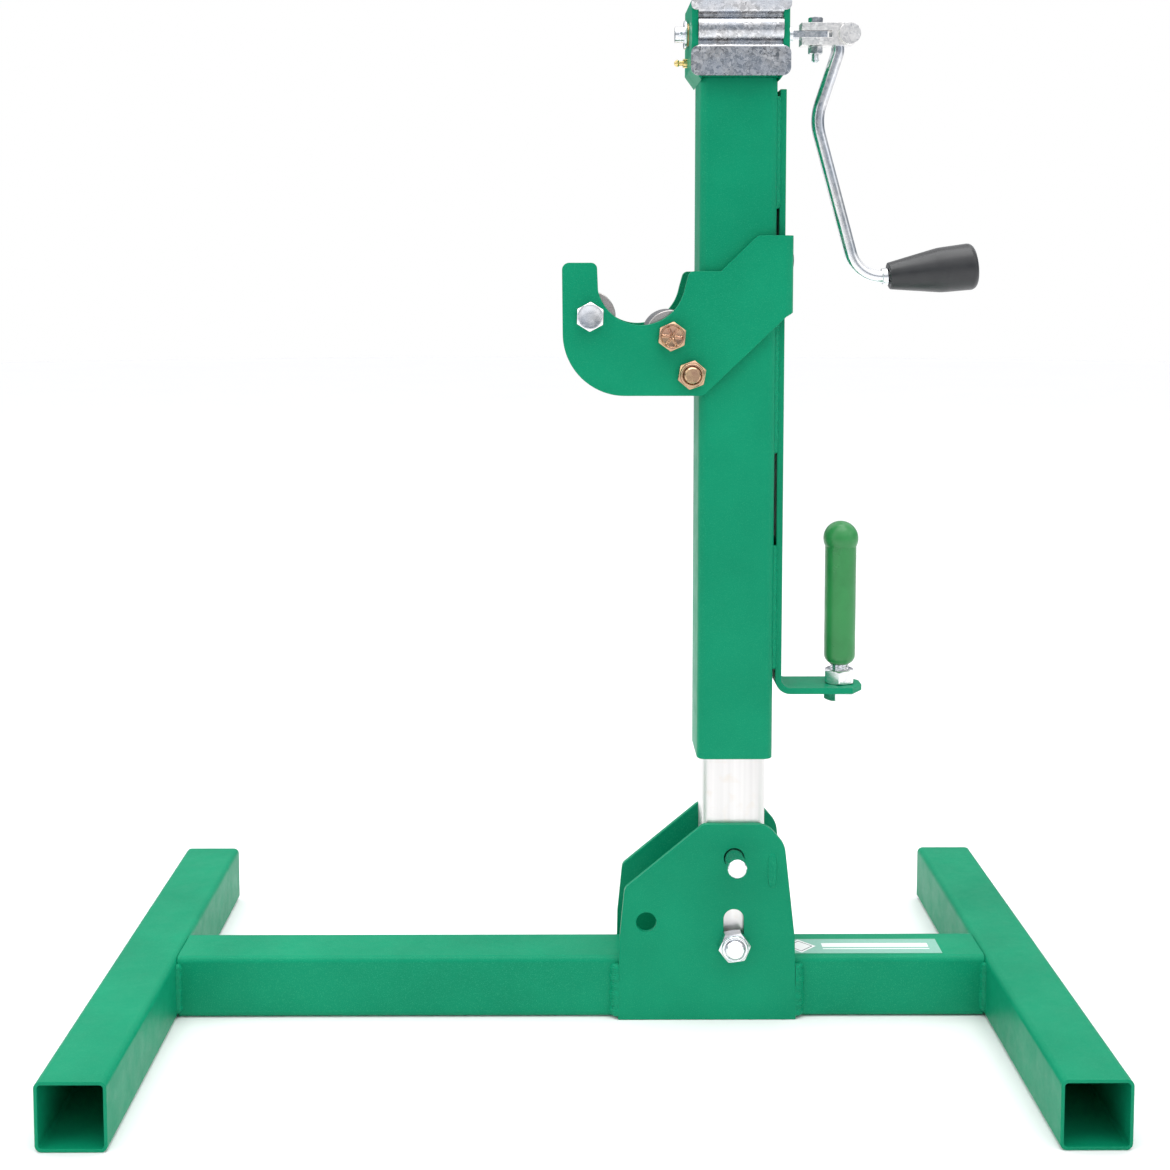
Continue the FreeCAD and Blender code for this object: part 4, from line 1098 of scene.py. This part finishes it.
class STAND_OT_welds(StandOperator, bpy.types.Operator):
    """Lay rippled fillet welds at the feet, the ears and the strap"""

    bl_idname = "stand.welds"
    bl_label = "Fillet welds"

    def execute(self, context):
        base_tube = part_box("crossbar")
        ends = (base_tube[0][0], base_tube[1][0])
        sides = (base_tube[0][1], base_tube[1][1])
        low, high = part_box("foot_welds")[0][2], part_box("foot_welds")[1][2]
        foot_leg, ear_leg, strap_leg = 0.0049, 0.0064, 0.0044
        beads = [
            fillet_bead((end, side), (-math.copysign(1, end), math.copysign(1, side)),
                        foot_leg, low, high, 1.3 * end_place + 2.2 * side_place)
            for end_place, end in enumerate(ends) for side_place, side in enumerate(sides)
        ]
        piece("foot_fillets", joined(*beads), "root", "paint", ("foot_welds",))
        edges = (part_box("front_ear")[0][0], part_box("front_ear")[1][0])
        beads = [
            fillet_bead((edge, side), (way, math.copysign(1, side)), ear_leg, low - 0.004, high,
                        0.7 + edge_place + 1.9 * side_place, spread=1.35, lap=0.0008)
            for edge_place, (edge, way) in enumerate(zip(edges, (-1, 1)))
            for side_place, side in enumerate(sides)
        ]
        piece("ear_fillets", joined(*beads), "root", "paint", ("ear_welds",))
        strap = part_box("strap")
        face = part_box("outer_tube")[1][0]
        # Lowest and highest point of each run of weld, above the floor.
        runs = ((0.361, 0.487), (0.580, 0.796), (0.823, 0.933))
        beads = [
            fillet_bead((face, side), (1, math.copysign(1, side)), strap_leg, start, stop, start * 9)
            for start, stop in runs for side in (strap[0][1], strap[1][1])
        ]
        piece("strap_fillets", joined(*beads), "mast", "paint", ("strap_welds",))
        return {"FINISHED"}


class STAND_OT_plug_welds(StandOperator, bpy.types.Operator):
    """Add the slot welds that hold the stop bar between the ears"""

    bl_idname = "stand.plug_welds"
    bl_label = "Slot welds"

    def execute(self, context):
        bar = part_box("mast_stop_bar")
        front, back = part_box("front_ear")[0][1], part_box("rear_ear")[1][1]
        middle_x, middle_z = (bar[0][0] + bar[1][0]) / 2, (bar[0][2] + bar[1][2]) / 2
        half_wide, half_tall = 0.0046, 0.0182
        marks = [
            plug_weld((middle_x, face, middle_z), half_wide, half_tall, way)
            for face, way in ((front, -1), (back, 1))
        ]
        piece("stop_bar_slot_welds", joined(*marks), "root", "paint")
        return {"FINISHED"}


class STAND_OT_cradle_hardware(StandOperator, bpy.types.Operator):
    """Make the cradle's roller bolts, lock bolt and nuts"""

    bl_idname = "stand.cradle_hardware"
    bl_label = "Cradle bolts"

    def execute(self, context):
        rod, flats, head, pitch = 0.015875, 0.0254, 0.0103, 0.0023
        plain = bolt("left_roller_bolt", "+Y", rod, flats, head, 32, pitch, 0.021)
        fitted("left_roller_bolt", plain, "zinc")
        graded = bolt("right_roller_bolt", "+Y", rod, flats, head, 36, pitch, 0.021, marks=6)
        fitted("right_roller_bolt", graded, "yellow_zinc")
        for node, finish in (("left_roller_nut", "zinc"), ("right_roller_nut", "yellow_zinc")):
            fitted(node, nut(node, "+Y", rod, flats, 30), finish)
        fitted("lock_bolt", bolt("lock_bolt", "-Y", rod, flats, head, 30, pitch, 0.022), "yellow_zinc")
        lock_nut = nut("lock_bolt_nut", "-Y", rod, flats, 20, collar=0.0036)
        fitted("lock_bolt_nut", lock_nut, "yellow_zinc")
        return {"FINISHED"}


class STAND_OT_pivot_hardware(StandOperator, bpy.types.Operator):
    """Make the pivot bolt and its lock nut"""

    bl_idname = "stand.pivot_hardware"
    bl_label = "Pivot bolt"

    def execute(self, context):
        rod, flats, head, pitch = 0.01905, 0.028575, 0.012, 0.00254
        fitted("pivot_bolt", bolt("pivot_bolt", "-Y", rod, flats, head, 30, pitch, 0.021), "zinc")
        fitted("pivot_nut", nut("pivot_nut", "-Y", rod, flats, 8, collar=0.0032), "zinc")
        return {"FINISHED"}


class STAND_OT_handle_hardware(StandOperator, bpy.types.Operator):
    """Make the carry handle's bolt and nut"""

    bl_idname = "stand.handle_hardware"
    bl_label = "Handle bolt"

    def execute(self, context):
        rod, flats, head, pitch = 0.01905, 0.028575, 0.011, 0.00254
        fitted("handle_bolt", bolt("handle_bolt", "+Z", rod, flats, head, 10, pitch, 0.127), "zinc")
        fitted("handle_nut", nut("handle_nut", "+Z", rod, flats, 20), "zinc")
        return {"FINISHED"}


class STAND_OT_clamp_hardware(StandOperator, bpy.types.Operator):
    """Make the bolt and nut that clamp the crank's yoke"""

    bl_idname = "stand.clamp_hardware"
    bl_label = "Clamp bolt"

    def execute(self, context):
        rod, flats, head, pitch = 0.0079375, 0.0127, 0.006, 0.00141
        fitted("clamp_bolt", bolt("clamp_bolt", "-Z", rod, flats, head, 10, pitch, 0.020), "zinc")
        fitted("clamp_nut", nut("clamp_nut", "-Z", rod, flats, 20), "zinc")
        return {"FINISHED"}


class STAND_OT_lift_screw(StandOperator, bpy.types.Operator):
    """Cut the trapezoid thread on the lift screw"""

    bl_idname = "stand.lift_screw"
    bl_label = "Lift screw"

    def execute(self, context):
        low, high = (np.array(corner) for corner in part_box("lift_screw"))
        lead = context.scene.stand_detail.screw_lead
        radius, collar = 0.009525, (high[0] - low[0]) / 2
        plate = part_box("outer_tube")[1][2]
        collar_low, collar_high = plate - 0.0082, plate - 0.0002
        angles = np.linspace(0, FULL_TURN, 32, endpoint=False)
        flat = np.ones_like(angles)
        heights = np.arange(low[2] + 0.002, collar_low - 0.004, lead / 8)[:, None] + 0 * angles
        phase = np.mod(heights / lead - angles / FULL_TURN, 1.0)
        groove = np.clip((np.abs(2 * phase - 1) - 0.32) / 0.30, 0, 1)
        threaded = radius - 0.42 * lead * groove
        plain_r = np.array([radius, collar, collar, radius, radius])[:, None] * flat
        plain_z = np.array([collar_low, collar_low, collar_high, collar_high, high[2]])[:, None] * flat
        start_r = np.array([radius - 0.003, radius - 0.003])[:, None] * flat
        start_z = np.array([low[2], low[2] + 0.0015])[:, None] * flat
        radii, tall = np.vstack([start_r, threaded, plain_r]), np.vstack([start_z, heights, plain_z])
        rings = ring_stack(radii, tall, angles) + np.array([MAST_X, 0, 0])
        piece("lift_screw_thread", skin(rings), "screw", "steel", ("lift_screw",))
        return {"FINISHED"}


class STAND_OT_stage(StandOperator, bpy.types.Operator):
    """Set the floor, the soft boxes, the surround and the camera"""

    bl_idname = "stand.stage"
    bl_label = "Floor, light and camera"

    def execute(self, context):
        stage = context.scene.stand_stage
        self.floor(stage)
        self.surround(context.scene, stage.surround)
        for name, place, size, power in (
            ("Overhead soft box", (0.1, -0.3, 2.9), (2.8, 2.2), stage.key_power),
            ("Left soft box", (-2.6, -1.7, 1.6), (1.5, 2.2), stage.key_power * 0.18),
            ("Right soft box", (2.8, -1.2, 1.3), (1.2, 2.2), stage.key_power * 0.07),
        ):
            light = bpy.data.lights.new(name, "AREA")
            light.shape = "RECTANGLE"
            light.size, light.size_y = size
            light.energy = power
            lamp = bpy.data.objects.new(name, light)
            lamp.location = place
            aim = Vector((0.05, 0, 0.45)) - lamp.location
            lamp.rotation_euler = aim.to_track_quat("-Z", "Y").to_euler()
            context.scene.collection.objects.link(lamp)
        self.camera(context.scene)
        context.scene.view_settings.view_transform = "Standard"
        return {"FINISHED"}

    def floor(self, stage):
        """A round floor: rings of radius and angle at height zero."""
        rings, columns = 4, 64
        radii = np.array([0.4, 1.5, 5.0, 14.0])[:, None]
        angles = np.linspace(0, FULL_TURN, columns, endpoint=False)[None, :]
        flat = np.stack([radii * np.cos(angles), radii * np.sin(angles), 0 * radii * angles], axis=-1)
        index = np.arange(rings * columns).reshape(rings, columns)
        right = np.roll(index, -1, axis=1)
        quads = np.stack([index[:-1], index[1:], right[1:], right[:-1]], axis=-1).reshape(-1, 4)
        mesh = bpy.data.meshes.new("studio_floor")
        mesh.from_pydata(flat.reshape(-1, 3).tolist(), [], quads.tolist() + [index[0].tolist()])
        mesh.materials.append(studio_floor("Pale studio floor", stage.floor_tone))
        thing = bpy.data.objects.new("studio_floor", mesh)
        thing.location.z = -0.0002
        bpy.context.scene.collection.objects.link(thing)

    def surround(self, scene, brightness):
        """Pale walls: the camera sees an even tone, and the metal reflects soft light and dark bands."""
        world = bpy.data.worlds.new("Studio surround")
        scene.world = world
        world.use_nodes = True
        nodes, links = world.node_tree.nodes, world.node_tree.links
        nodes.clear()
        output = nodes.new("ShaderNodeOutputWorld")
        output.label = "Surround"
        place = nodes.new("ShaderNodeTexCoord")
        place.label = "Direction"
        turn = nodes.new("ShaderNodeMapping")
        turn.label = "Turn the panels"
        turn.inputs["Rotation"].default_value = (0, 0, math.radians(24))
        panels = nodes.new("ShaderNodeTexGradient")
        panels.gradient_type = "RADIAL"
        panels.label = "Round the room"
        tones = nodes.new("ShaderNodeValToRGB")
        tones.label = "Light and dark panels"
        tones.color_ramp.interpolation = "EASE"
        stops = ((0.0, 0.95), (0.16, 1.0), (0.24, 0.40), (0.33, 0.92), (0.52, 1.0), (0.60, 0.45),
                 (0.68, 0.95), (0.82, 0.60), (0.93, 1.0))
        while len(tones.color_ramp.elements) < len(stops):
            tones.color_ramp.elements.new(0.5)
        for element, (position, tone) in zip(tones.color_ramp.elements, stops):
            element.position = position
            element.color = (tone, tone, tone * 1.02, 1)
        apart = nodes.new("ShaderNodeSeparateXYZ")
        apart.label = "Height above the horizon"
        rise = nodes.new("ShaderNodeValToRGB")
        rise.label = "Dark low wall, pale ceiling"
        heights = ((0.0, (0.42, 0.43, 0.45)), (0.10, (0.17, 0.20, 0.23)), (0.24, (0.27, 0.30, 0.33)),
                   (0.36, (0.92, 0.92, 0.92)), (0.60, (1.0, 1.0, 1.0)))
        while len(rise.color_ramp.elements) < len(heights):
            rise.color_ramp.elements.new(0.5)
        for element, (position, tone) in zip(rise.color_ramp.elements, heights):
            element.position = position
            element.color = (*tone, 1)
        both = nodes.new("ShaderNodeMix")
        both.data_type = "RGBA"
        both.blend_type = "MULTIPLY"
        both.label = "Panels under the ceiling"
        both.inputs["Factor"].default_value = 1.0
        shade = nodes.new("ShaderNodeBackground")
        shade.label = "What the metal reflects"
        shade.inputs["Strength"].default_value = brightness
        even = nodes.new("ShaderNodeBackground")
        even.label = "What the camera sees"
        even.inputs["Color"].default_value = (1, 1, 1, 1)
        even.inputs["Strength"].default_value = 1.0
        path = nodes.new("ShaderNodeLightPath")
        path.label = "Seen or reflected"
        mix = nodes.new("ShaderNodeMixShader")
        mix.label = "Surround"
        for node, x, y in (
            (output, 700, 0), (place, -900, 0), (turn, -700, 0), (panels, -500, 0), (tones, -300, 0),
            (apart, -700, 300), (rise, -500, 300), (both, -180, 160), (shade, 0, 120), (even, 0, -120),
            (path, 0, 480), (mix, 400, 0),
        ):
            node.location = (x, y)
        links.new(place.outputs["Generated"], turn.inputs["Vector"])
        links.new(turn.outputs["Vector"], panels.inputs["Vector"])
        links.new(panels.outputs["Fac"], tones.inputs["Fac"])
        links.new(place.outputs["Generated"], apart.inputs["Vector"])
        links.new(apart.outputs["Z"], rise.inputs["Fac"])
        links.new(rise.outputs["Color"], both.inputs["A"])
        links.new(tones.outputs["Color"], both.inputs["B"])
        links.new(both.outputs["Result"], shade.inputs["Color"])
        links.new(path.outputs["Is Camera Ray"], mix.inputs["Fac"])
        links.new(shade.outputs["Background"], mix.inputs[1])
        links.new(even.outputs["Background"], mix.inputs[2])
        links.new(mix.outputs["Shader"], output.inputs["Surface"])

    def camera(self, scene):
        """A normal lens in front of the stand, at three quarters of its height, tipped slightly down."""
        lens = bpy.data.cameras.new("Front view")
        lens.sensor_width = 36.0
        lens.lens = 50.726
        lens.shift_x, lens.shift_y = 0.0144, -0.1525
        lens.clip_end = 60.0
        view = bpy.data.objects.new("Front view", lens)
        tip, yaw, roll = math.radians(4.5), math.radians(0.152), math.radians(-0.050)
        right = Vector((math.cos(yaw), -math.sin(yaw), 0))
        up = Vector((math.sin(yaw) * math.sin(tip), math.cos(yaw) * math.sin(tip), math.cos(tip)))
        across = right * math.cos(roll) + up * math.sin(roll)
        above = up * math.cos(roll) - right * math.sin(roll)
        turn = Matrix((across, above, across.cross(above))).transposed()
        view.matrix_world = Matrix.Translation((-0.0171, -1.6660, 0.7560)) @ turn.to_4x4()
        scene.collection.objects.link(view)
        scene.camera = view


class STAND_PT_panel(bpy.types.Panel):
    """Panel that lists the stand's operators and settings"""

    bl_idname = "STAND_PT_panel"
    bl_label = "Conduit stand"
    bl_space_type = "VIEW_3D"
    bl_region_type = "UI"
    bl_category = "Stand"

    def draw(self, context):
        for operator in OPERATORS:
            self.layout.operator(operator.bl_idname)
        for group in (context.scene.stand_finish, context.scene.stand_detail, context.scene.stand_stage):
            box = self.layout.box()
            for name in group.__annotations__:
                box.prop(group, name)


OPERATORS = (
    STAND_OT_finish_frame,
    STAND_OT_plates,
    STAND_OT_cover,
    STAND_OT_crank_yoke,
    STAND_OT_welds,
    STAND_OT_plug_welds,
    STAND_OT_cradle_hardware,
    STAND_OT_pivot_hardware,
    STAND_OT_handle_hardware,
    STAND_OT_clamp_hardware,
    STAND_OT_lift_screw,
    STAND_OT_stage,
)
GROUPS = (StandFinish, StandDetail, StandStage)


def register():
    """Register the classes and put the settings on the scene."""
    for item in (*GROUPS, *OPERATORS, STAND_PT_panel):
        bpy.utils.register_class(item)
    bpy.types.Scene.stand_finish = PointerProperty(type=StandFinish)
    bpy.types.Scene.stand_detail = PointerProperty(type=StandDetail)
    bpy.types.Scene.stand_stage = PointerProperty(type=StandStage)


def unregister():
    """Take the settings off the scene and unregister the classes."""
    del bpy.types.Scene.stand_stage
    del bpy.types.Scene.stand_detail
    del bpy.types.Scene.stand_finish
    for item in reversed((*GROUPS, *OPERATORS, STAND_PT_panel)):
        bpy.utils.unregister_class(item)


def main():
    """Make every piece and the stage."""
    register()
    bpy.ops.stand.finish_frame()
    bpy.ops.stand.plates()
    bpy.ops.stand.cover()
    bpy.ops.stand.crank_yoke()
    bpy.ops.stand.welds()
    bpy.ops.stand.plug_welds()
    bpy.ops.stand.cradle_hardware()
    bpy.ops.stand.pivot_hardware()
    bpy.ops.stand.handle_hardware()
    bpy.ops.stand.clamp_hardware()
    bpy.ops.stand.lift_screw()
    bpy.ops.stand.stage()


if __name__ == "__main__":
    main()
